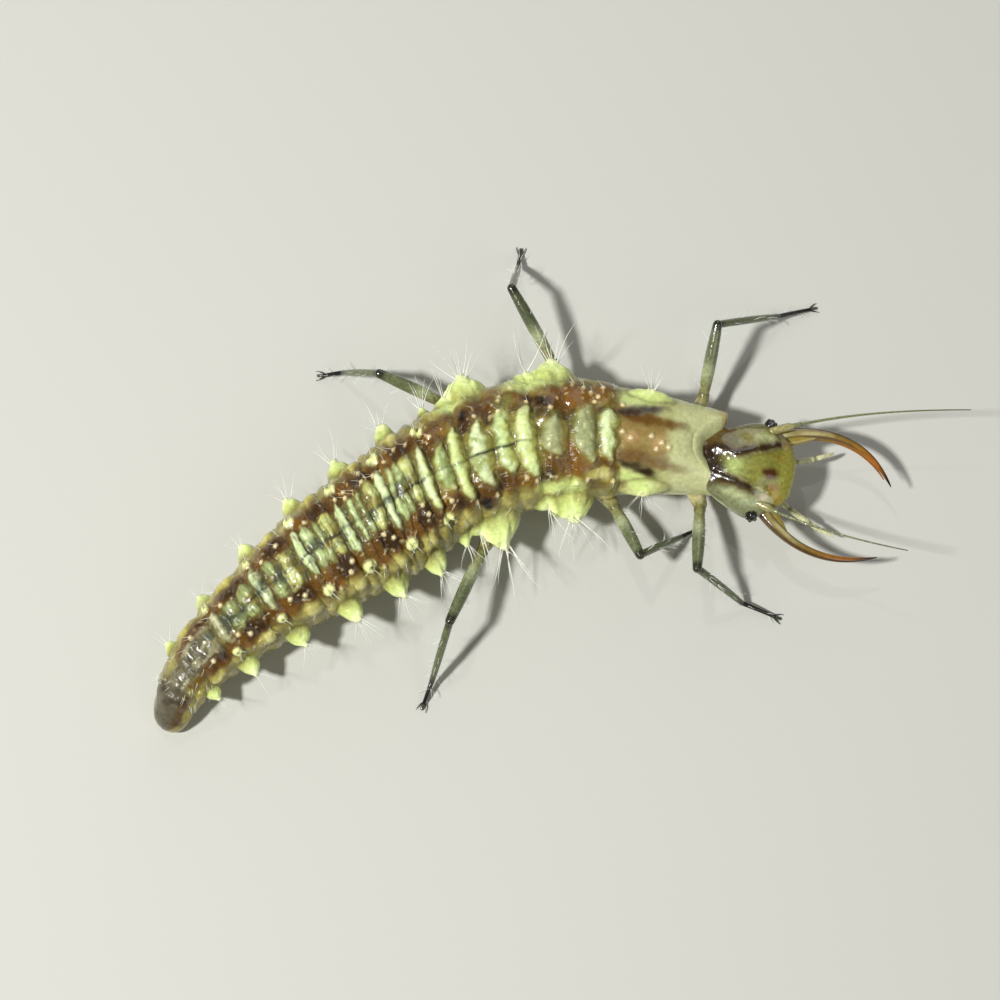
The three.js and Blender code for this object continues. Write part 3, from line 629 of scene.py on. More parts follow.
for where, halfLong, colour, strength in pads:
    for high in padTurns:
        nudge, size = rng.uniform(-0.03, 0.03), rng.uniform(0.85, 1.05)
        away = np.hypot((atBent - where - nudge) / (halfLong * size), (turnBent - high) / rng.uniform(10, 12))
        away = away + 0.5 * (cells - 0.5) + 0.35 * (streaks - 0.5)
        tint = paint(tint, c[colour], (1 - ease(0.45, 1.15, away)) * strength)
        whitened = 0.6 * (1 - ease(0.2, 0.6, away)) * strength * ease(0.4, 0.6, streaks)
        tint = paint(tint, c["mintWhite"], whitened)
        height = np.maximum(height, relief["pad"] * np.clip(1 - away ** 2, 0, 1))
for where, low, high, colour, strength in ridges:
    mask, dome = spindle(where - 0.055, where + 0.055, low, high, 0.02)[:2]
    darkSeam = 0.6 * np.exp(-((atSmooth - where + 0.1) / 0.03) ** 2) * zone(low, high, 4)
    tint = paint(tint, c["groove"], darkSeam)
    tint = paint(tint, c[colour], mask * strength * (0.35 + 0.6 * ease(0.3, 0.6, streaks)))
    height = np.maximum(height, dome * relief["ridge"])
# fine cross ripples, with painted shade as dark lines in the hollows between them
ripple = np.abs(np.sin(math.pi * (atSmooth + 0.02 * streaks) / relief["rippleStep"]))
rippled = ease(3.9, 4.3, at) * ease(10.6, 10.0, at) * (1 - ease(18, 34, down))
height = height + relief["ripple"] * ripple * rippled
tint = paint(tint, c["groove"], 0.65 * (1 - ease(0.0, 0.55, ripple)) * rippled * ease(0.2, 0.5, clouds))
raised += height[..., None] * normals
print("bars and patches laid out")

# Tubercles and knobs stand on the skin. Those on the left lie lower and show less: (reach, root) shares.
sideShares = {-1: (0.72, 0.84), 1: (0.96, 0.88)}
bumps = []
for i, s in enumerate(segments):
    for sign in (-1, 1):
        for row in ("side", "upper"):
            if row not in s:
                continue
            reach, root, where = s[row]
            spread = s.get("angle", bodyLayout[row + "Angle"])
            a = math.radians(s["roll"] + (spread if sign < 0 else 180 - spread))
            if row == "side":
                reach, root = reach * sideShares[sign][0], root * sideShares[sign][1]
            bumps.append({
                "at": i + where, "angle": a, "reach": reach, "root": root, "kind": row, "segment": i})
# A lower mound behind each big tubercle of the thorax: (segment, place, reach, root radius)
lowMounds = [(1, 1.95, 0.10, 0.17), (2, 2.98, 0.10, 0.17)]
for i, where, reach, root in lowMounds:
    for a in (segments[i]["roll"] + 10, segments[i]["roll"] + 170):
        bumps.append({"at": where, "angle": math.radians(a), "reach": reach, "root": root, "kind": "side",
                      "segment": i, "low": True})
creamMask, tipMask, knobMask, pitMask, footMask = (np.zeros(at.shape) for _ in range(5))
for b in bumps:
    b["middle"] = bodyPoint(b["at"], b["angle"])
    b["out"] = outwards(b["at"], b["angle"])
    away = places - b["middle"]
    lengthwise = away @ direction(float(facing(b["at"])))
    long = {0: 0.75, 1: 0.1, 2: 0.1}.get(b["segment"], 0.0)
    flat = np.sqrt(np.maximum((away ** 2).sum(-1) - long * lengthwise ** 2, 0))
    if b["kind"] == "side":
        t = flat / (b["root"] * 1.06) + 0.2 * (valueNoise(plain, 0.13, 9) - 0.5) + 0.1 * wanderFine
        dome = np.clip(1 - np.clip(t, 0, 1) ** 1.9, 0, 1) ** 0.85
        nipple = 0.14 * np.clip(1 - (t / 0.3) ** 2, 0, 1)
        raised += ((dome * 0.97 + nipple) * b["reach"])[..., None] * b["out"]
        creaminess = 1.0 if b["segment"] else 0.4
        creamMask = np.maximum(creamMask, (1 - ease(0.55, 1.15, t + 0.3 * wander)) * creaminess)
        tipMask = np.maximum(tipMask, (1 - ease(0.05, 0.85, t + 0.3 * wanderFine)) * creaminess)
        footMask = np.maximum(footMask, np.exp(-((t - 1.1) / 0.16) ** 2))
    else:
        t = flat / (b["root"] * 1.05)
        dome = np.clip(1 - np.clip(t, 0, 1) ** 2.4, 0, 1)
        raised += (dome * b["reach"] - (1 - ease(0.0, 0.5, t)) * 0.03)[..., None] * b["out"]
        knobMask = np.maximum(knobMask, 1 - ease(0.7, 0.95, t))
        pitMask = np.maximum(pitMask, 1 - ease(0.16, 0.42, t))
places = places + raised
normals = gridNormals(places)

# Bristles stand on tiny domes: on the tubercles, on the small bumps, between them and at the tail end.
# Lengths are in mm, and by segment on the big tubercles.
hairLayout = {
    "sideHairs": 9, "lowHairs": 4, "sideLength": {0: 0.36, 1: 0.62, 2: 0.68}, "sideOther": 0.42,
    "knobHairs": 3, "knobLength": 0.2, "bumpLength": (0.1, 0.17), "between": 110,
    "betweenLength": (0.07, 0.14), "tail": 18, "tailLength": (0.1, 0.18), "steps": 7, "sides": 4,
    "patch": 0.003, "footDome": (0.03, 0.018), "bumpDome": (0.045, 0.03), "smallDome": (0.02, 0.028),
    "smallDomeHeight": (0.01, 0.018),
}


def nearestSkin(target):
    return np.unravel_index(np.argmin(((places - target) ** 2).sum(-1)), at.shape)


def skinHair(row, column, aimed, length):
    # place, way out, length and the root's place on an unwrap of the skin
    return places[row, column], unit(aimed), length, (at[row, column] / 12, angle[row, column] / 8)


longRoots, shortRoots, domes = [], [], []
for b in bumps:
    back = -direction(float(facing(b["at"])))
    over = np.cross(b["out"], back)
    long = b["kind"] == "side"
    number = hairLayout["sideHairs"] if long else hairLayout["knobHairs"]
    number = hairLayout["lowHairs"] if "low" in b or b["segment"] > 7 else number
    for k in range(number):
        swing = 2 * math.pi * k / number + rng.uniform(-0.3, 0.3)
        lean = rng.uniform(0.3, 1.1) if k else 0.1
        spread = back * math.cos(swing) + over * math.sin(swing)
        foot = b["middle"] + b["out"] * b["reach"] + spread * b["root"] * (0.5 if long else 0.7) * lean
        row, column = nearestSkin(foot)
        aimed = b["out"] + spread * lean * (0.95 if long else 0.5)
        reach = hairLayout["knobLength"]
        if long:
            reach = hairLayout["sideLength"].get(b["segment"], hairLayout["sideOther"])
        length = reach * rng.uniform(0.55, 1.1) * (0.7 if b["segment"] > 6 else 1.0)
        domes.append((row, column, *hairLayout["footDome"]))
        (longRoots if long else shortRoots).append((row, column, aimed, length))
for where, high in setae:
    row, column = nearestSkin(bodyPoint(where, math.radians(high)))
    domes.append((row, column, *hairLayout["bumpDome"]))
    aimed = normals[row, column] - direction(float(facing(where))) * 0.6
    shortRoots.append((row, column, aimed, rng.uniform(*hairLayout["bumpLength"])))
for _ in range(hairLayout["between"]):
    where = rng.uniform(0.5, 10.5)
    swing = rng.uniform(18, 66) * rng.choice([-1, 1])
    row, column = nearestSkin(bodyPoint(where, math.radians(90 + float(roll(where)) + swing)))
    size, tall = rng.uniform(*hairLayout["smallDome"]), rng.uniform(*hairLayout["smallDomeHeight"])
    domes.append((row, column, size, tall))
    aimed = normals[row, column] - direction(float(facing(where))) * 0.7 + rng.normal(size=3) * 0.15
    shortRoots.append((row, column, aimed, rng.uniform(*hairLayout["betweenLength"])))
for _ in range(hairLayout["tail"]):
    row = int(bodyLayout["rings"] * rng.uniform(0.9, 0.98))
    column = np.argmin(np.abs(ringAngle - rng.uniform(0.2, math.pi - 0.2)))
    aimed = normals[row, column] - direction(60) * rng.uniform(0.4, 1.0)
    shortRoots.append((row, column, aimed, rng.uniform(*hairLayout["tailLength"])))
domeMask = np.zeros(at.shape)
lifted = np.zeros(at.shape)
for row, column, size, tall in domes:
    near = slice(max(row - 9, 0), row + 10)
    t = np.linalg.norm(places[near] - places[row, column], axis=-1) / size
    dome = np.clip(1 - t ** 2, 0, 1)
    lifted[near] = np.maximum(lifted[near], dome * tall)
    domeMask[near] = np.maximum(domeMask[near], (1 - ease(0.5, 1.0, t)) * min(size / 0.04, 1))
uneven = (valueNoise(plain, 0.2, 14) - 0.5) * 0.035 + (valueNoise(plain, 0.075, 15) - 0.5) * 0.016
lifted += uneven * (0.3 + 0.7 * ease(0.9, 1.1, at)) * (1 - lastStretch)
places = places + lifted[..., None] * normals
places[..., 2] = np.maximum(places[..., 2], bodyLayout["padHeight"])  # the tail pad lies flat on the ground
longRoots = [skinHair(*root) for root in longRoots]
shortRoots = [skinHair(*root) for root in shortRoots]
print("body shaped")

# The collar: green-grey in front, with a tan middle, two brown stripes that run together and pale sides.
# Its patches, painted in this order: (place, turn, half length, half height, colour, strength)
collarPatches = [
    (0.85, 76, 0.30, 10, "stripe", 1.0), (0.58, 78, 0.28, 9, "stripe", 0.9),
    (0.34, 78, 0.2, 8, "stripe", 0.6), (0.97, 68, 0.10, 7, "stripe", 0.8),
    (0.92, 72, 0.16, 6, "stripeDark", 0.9), (0.78, 68, 0.14, 6, "stripeDark", 0.9),
    (0.67, 63, 0.18, 8, "stripeDark", 1.0), (0.55, 57, 0.1, 6, "stripeDark", 0.6),
    (0.85, 118, 0.30, 11, "stripe", 0.9), (0.55, 122, 0.26, 10, "stripe", 0.8),
    (0.32, 126, 0.18, 9, "stripe", 0.55), (0.95, 125, 0.16, 5, "stripeDark", 0.9),
    (0.80, 129, 0.16, 6, "stripeDark", 0.9), (0.66, 136, 0.17, 8, "stripeDark", 1.0),
    (0.55, 143, 0.1, 6, "stripeDark", 0.6), (0.80, 50, 0.26, 11, "patch", 0.75),
    (0.78, 38, 0.30, 15, "patch", 0.95), (0.55, 32, 0.16, 14, "patch", 0.7),
    (0.98, 141, 0.15, 8, "patch", 1.0), (0.82, 147, 0.15, 10, "patch", 1.0),
    (0.66, 156, 0.15, 11, "patch", 1.0), (0.98, 158, 0.1, 9, "stripe", 0.7),
    # painted highlights: the two small pink spots in the middle of the collar
    (0.52, 98, 0.1, 9, "pinkGlint", 0.5), (0.84, 96, 0.1, 6, "pinkGlint", 0.5),
]
blend = 0.02 + 0.1 * ease(25, 55, down)
inCollar = ease(1.0 + blend, 1.0 - blend, at + 0.12 * wander + 0.06 * wanderFine)
tint = paint(tint, c["collar"], inCollar)
tint = paint(tint, c["collarMid"], inCollar * zone(82, 116, 7, 0.34, 1.1, 0.2) * (0.7 + 0.5 * cells))
tint = paint(tint, c["collarFront"], inCollar * ease(0.5, 0.3, atBent))
for where, high, halfLong, halfTall, colour, strength in collarPatches:
    away = np.hypot((atSmooth - where) / halfLong, (turn + 0.5 * (turnBent - turn) - high) / halfTall)
    tint = paint(tint, c[colour], inCollar * strength * (1 - ease(0.35, 1.3, away + 0.3 * (cells - 0.5))))
tint = paint(tint, c["rim"], 0.5 * ease(0.07, 0.0, at) * zone(-14, 45, 8))
tint = paint(tint, c["grooveTan"], 0.6 * np.exp(-((atFold - 1.0) / 0.035) ** 2) * zone(60, 140, 8))

# The tail: grey over the back with silver streaks that are painted glints, brown low on both sides, plain
# grey-brown at the end.
backTail = zone(66, 112, 8, 8.7, 13.0, 0.25)
tint = paint(tint, c["tail"], backTail * 0.85)
# painted highlights: silver streaks over the back stand in for glints
tint = paint(tint, c["silver"], backTail * ease(0.45, 0.7, streaks) * 0.7 * ease(11.2, 10.6, at))
tint = paint(tint, c["brown"], 0.8 * (zone(50, 68, 5, 8.8, 9.6) + zone(112, 131, 5, 8.8, 9.9)))
tint = paint(tint, c["tail"], ease(9.8, 10.4, at) * ease(170, 140, turn) * ease(10, 40, turn))
tint = paint(tint, c["brown"], 0.6 * ease(10.0, 10.6, at) * ease(104, 120, turn) * ease(150, 138, turn))
tint = paint(tint, c["tailSide"], 0.8 * ease(9.4, 9.9, at) * ease(132, 150, turn) * ease(200, 190, turn))
tint = paint(tint, c["dark"], 0.6 * ease(9.4, 10.4, at) * ease(0.5, 0.8, cells))

# Dark line down the middle, painted shade in the fold valleys, then the raised parts and the belly.
middleLine = np.exp(-((turn - middle - 0.5 + 2.5 * wander) / 1.1) ** 2)
middleLine = middleLine * ease(1.9, 2.2, at) * ease(8.6, 8.1, at)
tint = paint(tint, c["line"], middleLine * (0.5 + 0.5 * ease(0.35, 0.6, valueNoise(plain, 0.2, 11))))
slate = ease(0.5, 0.7, valueNoise(plain, 0.12, 12)) * (1 - ease(3, 14, down))
slate = slate * ease(4.2, 4.5, at) * ease(9.4, 8.8, at)
tint = paint(tint, c["slate"], 0.7 * slate)
# painted shade: thin dark lines along the valleys of the folds
foldLine = (1 - ease(0.0, 0.35, rollWave)) * ease(0.95, 1.0, at) * ease(10.4, 9.6, at)
foldLine = foldLine * (1 - ease(24, 60, down))
tint = paint(tint, c["dark"], 0.5 * foldLine * (0.25 + 0.75 * ease(0.3, 0.6, cells)))
tint = paint(tint, c["belly"], ease(95, 112, down))
tint = paint(tint, c["flankOlive"], 0.6 * footMask)
# The cream runs on from the big tubercles towards the back: (place, turn, half length, half height)
creamRuns = [(1.93, 37, 0.3, 13), (1.72, 150, 0.26, 10), (2.98, 36, 0.2, 9)]
for where, high, halfLong, halfTall in creamRuns:
    creamMask = np.maximum(creamMask, 0.85 * blot(where, high, halfLong, halfTall, 0.6) * (0.6 + 0.6 * cells))
tint = paint(tint, c["cream"], creamMask)
shaded = creamMask * 0.55 * ease(0.45, 0.8, valueNoise(plain, 0.13, 13)) * (1 - tipMask)
tint = paint(tint, c["creamShade"], shaded)
# whitish tubercle tips, made brighter as a painted highlight
tint = paint(tint, c["creamTipHighlight"], tipMask * 0.75)
tint = paint(tint, c["knob"], knobMask * 0.95)
tint = paint(tint, c["pit"], pitMask * 0.8)
# small domes: pale bumps whose pale tint partly stands in for their glints, whitened further on the tubercles
# as a painted highlight
tint = paint(tint, c["bump"], 0.8 * domeMask * (1 - np.maximum(knobMask, creamMask)))
tint = paint(tint, c["creamTipHighlight"], 0.8 * domeMask * creamMask)
tint = np.clip(tint * bodyLayout["warmth"], 0, 0.95)

bodySkin = meshPiece("body_skin", places.reshape(-1, 3), gridFaces(*at.shape), skin, tint.reshape(-1, 3))
lie = bodySkin.data.attributes.new("lie", "FLOAT_VECTOR", "POINT")
wrinkled = 0.25 + 0.75 * ease(0.8, 1.1, at)
lie.data.foreach_set("vector", np.stack([alongMm / 3, acrossMm, wrinkled], -1).astype(np.float32).ravel())
finish(bodySkin, "skin", *[s["name"] for s in segments])
print("body skin made", len(bodySkin.data.polygons))

# The head: a flattened capsule with a round back. Two dark arms run from a dark apex, with an olive
# triangle between them. Lines on it are (along, out to the left) in mm; outline is (share, half breadth).
headShape = {
    "rings": 130, "sides": 150, "capRings": 12, "capReach": 0.05, "capRear": 0.17,
    "outline": [(0, 0.30), (0.12, 0.46), (0.30, 0.58), (0.48, 0.68), (0.62, 0.70), (0.76, 0.64), (0.88, 0.54),
                (0.96, 0.43), (1, 0.34)],
    "leftArm": [(-0.02, -0.04), (0.11, 0.15), (0.24, 0.15), (0.39, 0.10), (0.59, 0.18), (0.78, 0.28),
                (0.97, 0.38)],
    "rightArm": [(0.0, -0.12), (0.12, -0.2), (0.25, -0.26), (0.51, -0.31), (0.76, -0.38)],
    "rearArc": [(0.0, -0.14), (-0.02, 0.08), (0.04, 0.28), (0.14, 0.40), (0.26, 0.50)],
    "apex": [(0.04, 0.04), (0.09, -0.08), (0.14, -0.2)],
    "margin": [(0.17, 0.44), (0.43, 0.56), (0.74, 0.64), (0.95, 0.58), (1.1, 0.46)],
    "triangleLeft": [(0, 0.0), (0.24, 0.1), (0.39, 0.05), (0.59, 0.13), (0.78, 0.23), (0.97, 0.33),
                     (1.3, 0.4)],
    "triangleRight": [(0, -0.1), (0.12, -0.14), (0.25, -0.2), (0.51, -0.26), (0.76, -0.33), (1.3, -0.42)],
}
headColours = {
    "left": "#8a864e", "right": "#a0aa80", "clear": "#b0b682", "olive": "#514a20", "triangle": "#83823a",
    "mint": "#a8b66c", "front": "#7b7c30", "edge": "#98943c", "dark": "#2b1e08", "brown": "#553b0e",
    "spot": "#4a260c", "pale": "#d9c2a2", "rust": "#96581c", "outline": "#cfd0a0", "under": "#948c66",
    "flange": "#a08a32",
}
halfAt = smoothThrough(headShape["outline"])
capTurn = np.linspace(1, 0, headShape["capRings"], endpoint=False)[::-1] * math.pi / 2
stations = [(-headShape["capRear"] * math.sin(t), math.cos(t) ** 0.8, 0.0) for t in capTurn[::-1]]
stations += [(s * headLayout["length"], 1.0, s) for s in np.linspace(0, 1, headShape["rings"])]
stations += [
    (headLayout["length"] + headShape["capReach"] * math.sin(t), math.cos(t) ** 0.8, 1.0) for t in capTurn]
stations = np.array([s for s in stations if s[1] > 0.02])
sweep = np.linspace(0, 2 * math.pi, headShape["sides"], endpoint=False)
headAlong, headAngle = np.meshgrid(stations[:, 0], sweep, indexing="ij")
shrink, lengthShare = (np.repeat(stations[:, k:k + 1], len(sweep), axis=1) for k in (1, 2))
swell = np.sin(math.pi * (0.16 + 0.68 * lengthShare))
headOut = halfAt(lengthShare) * shrink * np.sign(np.cos(headAngle)) * np.abs(np.cos(headAngle)) ** 0.9
headRise = np.sign(np.sin(headAngle)) * np.abs(np.sin(headAngle)) ** 0.85
headRise = headRise * headLayout["thickness"] / 2 * swell * shrink
onTop = headAngle < math.pi
flat = headPoint(headAlong, headOut, headRise)
headNormals = gridNormals(flat)

# Low relief: grooves along the arms, a raised cheek by each eye, a sunk front and small swellings.
# Lifts are (middle, half lengths, height, softness), and those below 0 are sunk.
grooves = np.maximum(strokeMask(headAlong, headOut, headShape["leftArm"], 0.045, 0.9),
                     strokeMask(headAlong, headOut, headShape["rightArm"], 0.045, 0.9)) * onTop
headLifts = [
    ((0.5, 0.42), (0.26, 0.14), 0.022, 0.8), ((0.5, -0.5), (0.26, 0.12), 0.022, 0.8),
    ((0.3, -0.04), (0.2, 0.1), 0.02, 0.9), ((1.12, 0.02), (0.12, 0.2), -0.03, 0.9),
    ((0.93, -0.07), (0.09, 0.08), -0.015, 0.9), ((0.1, 0.02), (0.08, 0.08), 0.03, 1.0),
    ((0.42, 0.3), (0.13, 0.13), 0.03, 1.0), ((0.32, -0.03), (0.07, 0.07), 0.028, 1.0),
    ((0.85, 0.38), (0.09, 0.09), 0.03, 1.0), ((0.3, -0.42), (0.08, 0.08), 0.02, 1.0),
    ((0.98, -0.3), (0.05, 0.05), 0.02, 1.0),
]
lift = -0.01 * grooves
for place, half, tall, soft in headLifts:
    lift += tall * ovalMask(headAlong, headOut, place, half, soft) * onTop
lift += 0.02 * (valueNoise(flat, 0.17, 21) - 0.5)
headPlaces = flat + lift[..., None] * headNormals

c = headColours
bentAlong = headAlong + 0.045 * (valueNoise(flat, 0.1, 22) - 0.5)
bentOut = headOut + 0.045 * (valueNoise(flat, 0.1, 23) - 0.5)
mottle = valueNoise(flat, 0.08, 24)
leftEdge = np.interp(bentAlong, *zip(*headShape["triangleLeft"]))
rightEdge = np.interp(bentAlong, *zip(*headShape["triangleRight"]))
between = ease(0.03, -0.01, bentOut - leftEdge) * ease(-0.03, 0.01, bentOut - rightEdge) * onTop
tint = paint(plainTint(headAlong.shape, c["left"]), c["right"], ease(-0.2, -0.32, bentOut))
streaks = valueNoise(flat @ np.stack([headAhead / 3, headLeft, headUp], 1), 0.06, 26)
tint = paint(tint, c["clear"], 0.8 * ease(0.5, 0.8, 0.5 * (mottle + streaks)))
tint = paint(tint, c["olive"], 0.4 * ease(0.4, 0.9, valueNoise(flat, 0.25, 25)))
tint = paint(tint, c["olive"], 0.8 * ovalMask(bentAlong, bentOut, (0.22, 0.32), (0.28, 0.14), 0.8))
tint = paint(tint, c["olive"], 0.9 * ovalMask(bentAlong, bentOut, (0.16, -0.28), (0.24, 0.12), 0.8))
# painted shade: the top darkens to olive towards the capsule's edge, where it curves away
rimmed = np.abs(headOut) / np.maximum(halfAt(lengthShare) * shrink, 0.05)
tint = paint(tint, c["olive"], 0.6 * ease(0.72, 0.95, rimmed) * onTop)
tint = paint(tint, c["triangle"], between * ease(0.12, 0.3, bentAlong))
tint = paint(tint, c["mint"], between * ease(0.22, 0.34, bentAlong) * ease(0.7, 0.42, bentAlong))
tint = paint(tint, c["olive"], between * 0.35 * ease(0.5, 0.8, streaks))
tint = paint(tint, c["front"], between * ease(0.8, 0.98, bentAlong) * ease(1.2, 1.1, bentAlong))
tint = paint(tint, c["edge"], 0.8 * ease(1.02, 1.15, bentAlong) * (np.abs(headOut) < 0.46))
for edge, sign in ((leftEdge, -1), (rightEdge, 1)):
    line = np.exp(-((bentOut - edge - 0.02 * sign) / 0.014) ** 2) * ease(0.35, 0.45, bentAlong)
    tint = paint(tint, c["outline"], 0.8 * line * ease(1.05, 0.95, bentAlong) * onTop)
# Spots on the head: (middle, half lengths, colour, strength). The pale ones are painted glints.
headSpots = [
    ((0.93, -0.07), (0.1, 0.08), "spot", 1.0), ((1.04, 0.18), (0.1, 0.07), "rust", 0.25),
    ((1.02, -0.26), (0.09, 0.07), "rust", 0.5), ((0.8, 0.42), (0.16, 0.08), "clear", 0.8),
    ((1.05, 0.42), (0.08, 0.07), "pale", 0.6), ((0.93, -0.42), (0.07, 0.06), "pale", 0.6),
    ((0.55, -0.46), (0.2, 0.06), "clear", 0.7), ((1.14, 0.44), (0.09, 0.08), "flange", 0.8),
    ((1.12, -0.38), (0.1, 0.08), "flange", 0.8),
]
for place, half, colour, strength in headSpots:
    tint = paint(tint, c[colour], strength * ovalMask(bentAlong, bentOut, place, half) * onTop)
tint = paint(tint, c["olive"], 0.45 * strokeMask(bentAlong, bentOut, headShape["margin"], 0.05, 0.9) * onTop)
# Dark lines of the head, a little worn towards the front: (line, half width, colour, softness)
headStrokes = [
    ("rearArc", 0.075, "brown", 0.9), ("leftArm", 0.085, "brown", 0.9), ("rightArm", 0.08, "brown", 0.9),
    ("leftArm", 0.052, "dark", 0.9), ("rightArm", 0.046, "dark", 0.9), ("apex", 0.15, "dark", 0.75),
]
worn = 1 - 0.45 * ease(0.5, 0.85, bentAlong) * ease(0.3, 0.7, mottle)
for line, half, colour, soft in headStrokes:
    tint = paint(tint, c[colour], strokeMask(bentAlong, bentOut, headShape[line], half, soft) * onTop * worn)
tint = paint(tint, c["under"], np.where(onTop, 0.0, 1.0) * (np.abs(headRise) > 0.06))
headFaces = gridFaces(*headAlong.shape)
head = meshPiece("head_capsule", headPlaces.reshape(-1, 3), headFaces, headHorn, tint.reshape(-1, 3))
finish(head, "head", "head")
print("head made")


def tubeGrid(path, radii, sides, flatten=1.0):
    # rings round a path, turned no more than the path turns
    ahead = unit(np.gradient(path, axis=0))
    across = unit(np.cross(np.array([0, 0, 1.0]), ahead[0]))
    sweep = np.linspace(0, 2 * math.pi, sides, endpoint=False)
    rings = []
    for i in range(len(path)):
        across = unit(across - ahead[i] * (across @ ahead[i]))
        over = np.cross(ahead[i], across)
        spokes = np.cos(sweep)[:, None] * across + flatten * np.sin(sweep)[:, None] * over
        rings.append(path[i] + radii[i] * spokes)
    return np.array(rings)


def roundEnds(path, radii, steps=5):
    # adds dome rings at both ends of a path
    first, last = unit(path[0] - path[1]), unit(path[-1] - path[-2])
    swing = np.linspace(0, math.pi / 2, steps + 1)[1:] * 0.97
    before = [path[0] + first * radii[0] * math.sin(t) for t in swing[::-1]]
    after = [path[-1] + last * radii[-1] * math.sin(t) for t in swing]
    fade = np.cos(swing)
    faded = np.concatenate([radii[0] * fade[::-1], radii, radii[-1] * fade])
    return np.vstack([before, path, after]), faded, steps


def newTubes():
    return {"places": [], "faces": [], "tints": [], "count": 0}


def addTube(tubes, path, radii, sides, tint, flatten=1.0):
    path, radii, extra = roundEnds(np.asarray(path, float), np.asarray(radii, float))
    grid = tubeGrid(path, radii, sides, flatten)
    tubes["faces"] += gridFaces(len(path), sides, tubes["count"])
    tubes["places"].append(grid.reshape(-1, 3))
    tubes["tints"].append(np.concatenate([tint[:1]] * extra + [tint] + [tint[-1:]] * extra).reshape(-1, 3))
    tubes["count"] += len(path) * sides


def tubesPiece(tubes, name, material):
    places = np.vstack(tubes["places"])
    places[:, 2] = np.maximum(places[:, 2], groundGap)
    return meshPiece(name, places, tubes["faces"], material, np.vstack(tubes["tints"]))


def alongTube(values, sides):
    return np.repeat(np.asarray(values)[:, None], sides, axis=1)


# Eyes: a dark seat half sunk in the cheek, with six small lenses as a larva has.
eyeDetail = {
    "lens": 0.035, "ring": 0.054, "ringLenses": 5, "ringOut": 0.043, "middleOut": 0.06, "seatRadius": 0.088,
    "sunk": 0.02, "lowered": 0.01, "black": "#0c0a09", "seat": "#17130f", "sides": 20,
}
for name, sign in (("eye_left", 1), ("eye_right", -1)):
    place = headPoint(eyeLayout["at"] * headLayout["length"],
                      sign * (eyeLayout["out"] - eyeDetail["sunk"]), eyeLayout["up"] - eyeDetail["lowered"])
    out = unit(0.85 * sign * headLeft + 0.45 * headUp + 0.25 * headAhead)
    side = unit(np.cross(out, headUp))
    over = np.cross(side, out)
    lenses = [(place, eyeDetail["seatRadius"], "seat"),
              (place + out * eyeDetail["middleOut"], eyeDetail["lens"], "black")]
    for k in range(eyeDetail["ringLenses"]):
        swing = 2 * math.pi * k / eyeDetail["ringLenses"]
        off = (side * math.cos(swing) + over * math.sin(swing)) * eyeDetail["ring"]
        lenses.append((place + off + out * eyeDetail["ringOut"], eyeDetail["lens"], "black"))
    eye = newTubes()
    for middlePlace, radius, code in lenses:
        path = np.array([middlePlace - out * radius * 0.02, middlePlace + out * radius * 0.02])
        tint = plainTint((2, eyeDetail["sides"]), eyeDetail[code])
        addTube(eye, path, [radius, radius], eyeDetail["sides"], tint)
    finish(tubesPiece(eye, name + "_lenses", eyeLens), "eye", name)
print("eyes made")


def bowedLine(root, tip, bow, bend, steps, arch=0.0):
    # a curve between two places on the head: it bows aside in the plane of the head and arches upwards
    start, end = headPoint(*root), headPoint(*tip)
    aside = unit(np.cross(headUp, unit(end - start)))
    pull = start + (end - start) * bend + aside * bow * 2
    t = np.linspace(0, 1, steps)[:, None]
    return start * (1 - t) ** 2 + pull * 2 * t * (1 - t) + end * t * t + headUp * arch * np.sin(math.pi * t)


# Jaws: each is a blade with a tan root, an amber middle and a brown tip, over a thinner lower blade.
jawLayout = {
    "left": {"root": (0.86, 0.55, -0.03), "tip": (2.72, 0.27, -0.06), "bow": 0.36, "bend": 0.58},
    "right": {"root": (0.86, -0.42, -0.03), "tip": (2.72, -0.80, -0.06), "bow": -0.36, "bend": 0.50},
    "steps": 72, "sides": 28, "lowerSides": 18, "arch": 0.07,
    "radius": [(0, 0.105), (0.15, 0.09), (0.3, 0.072), (0.45, 0.062), (0.6, 0.054), (0.75, 0.045),
               (0.88, 0.03), (0.96, 0.018), (1, 0.008)],
    "lowerRadius": [(0, 0.09), (0.25, 0.06), (0.5, 0.042), (0.8, 0.024), (1, 0.008)],
    "lowerEnd": 0.93, "lowerDrop": 0.055, "lowerInwards": 0.04, "flangeInwards": 0.09,
    "flangeFrom": 0.06, "flangeTo": 0.36, "flangeSteps": 16, "flangeSides": 20,
    "flangeRadius": [(0, 0.11), (0.5, 0.085), (1, 0.02)],
}
jawColours = {
    "base": "#7c6b36", "amber": "#8f6820", "orange": "#985c16", "tip": "#2a1607", "outer": "#47290b",
    "clear": "#b9b07c", "lower": "#806532", "flange": "#948234",
}
jawRadius, lowerRadius, flangeRadius = (
    smoothThrough(jawLayout[key]) for key in ("radius", "lowerRadius", "flangeRadius"))
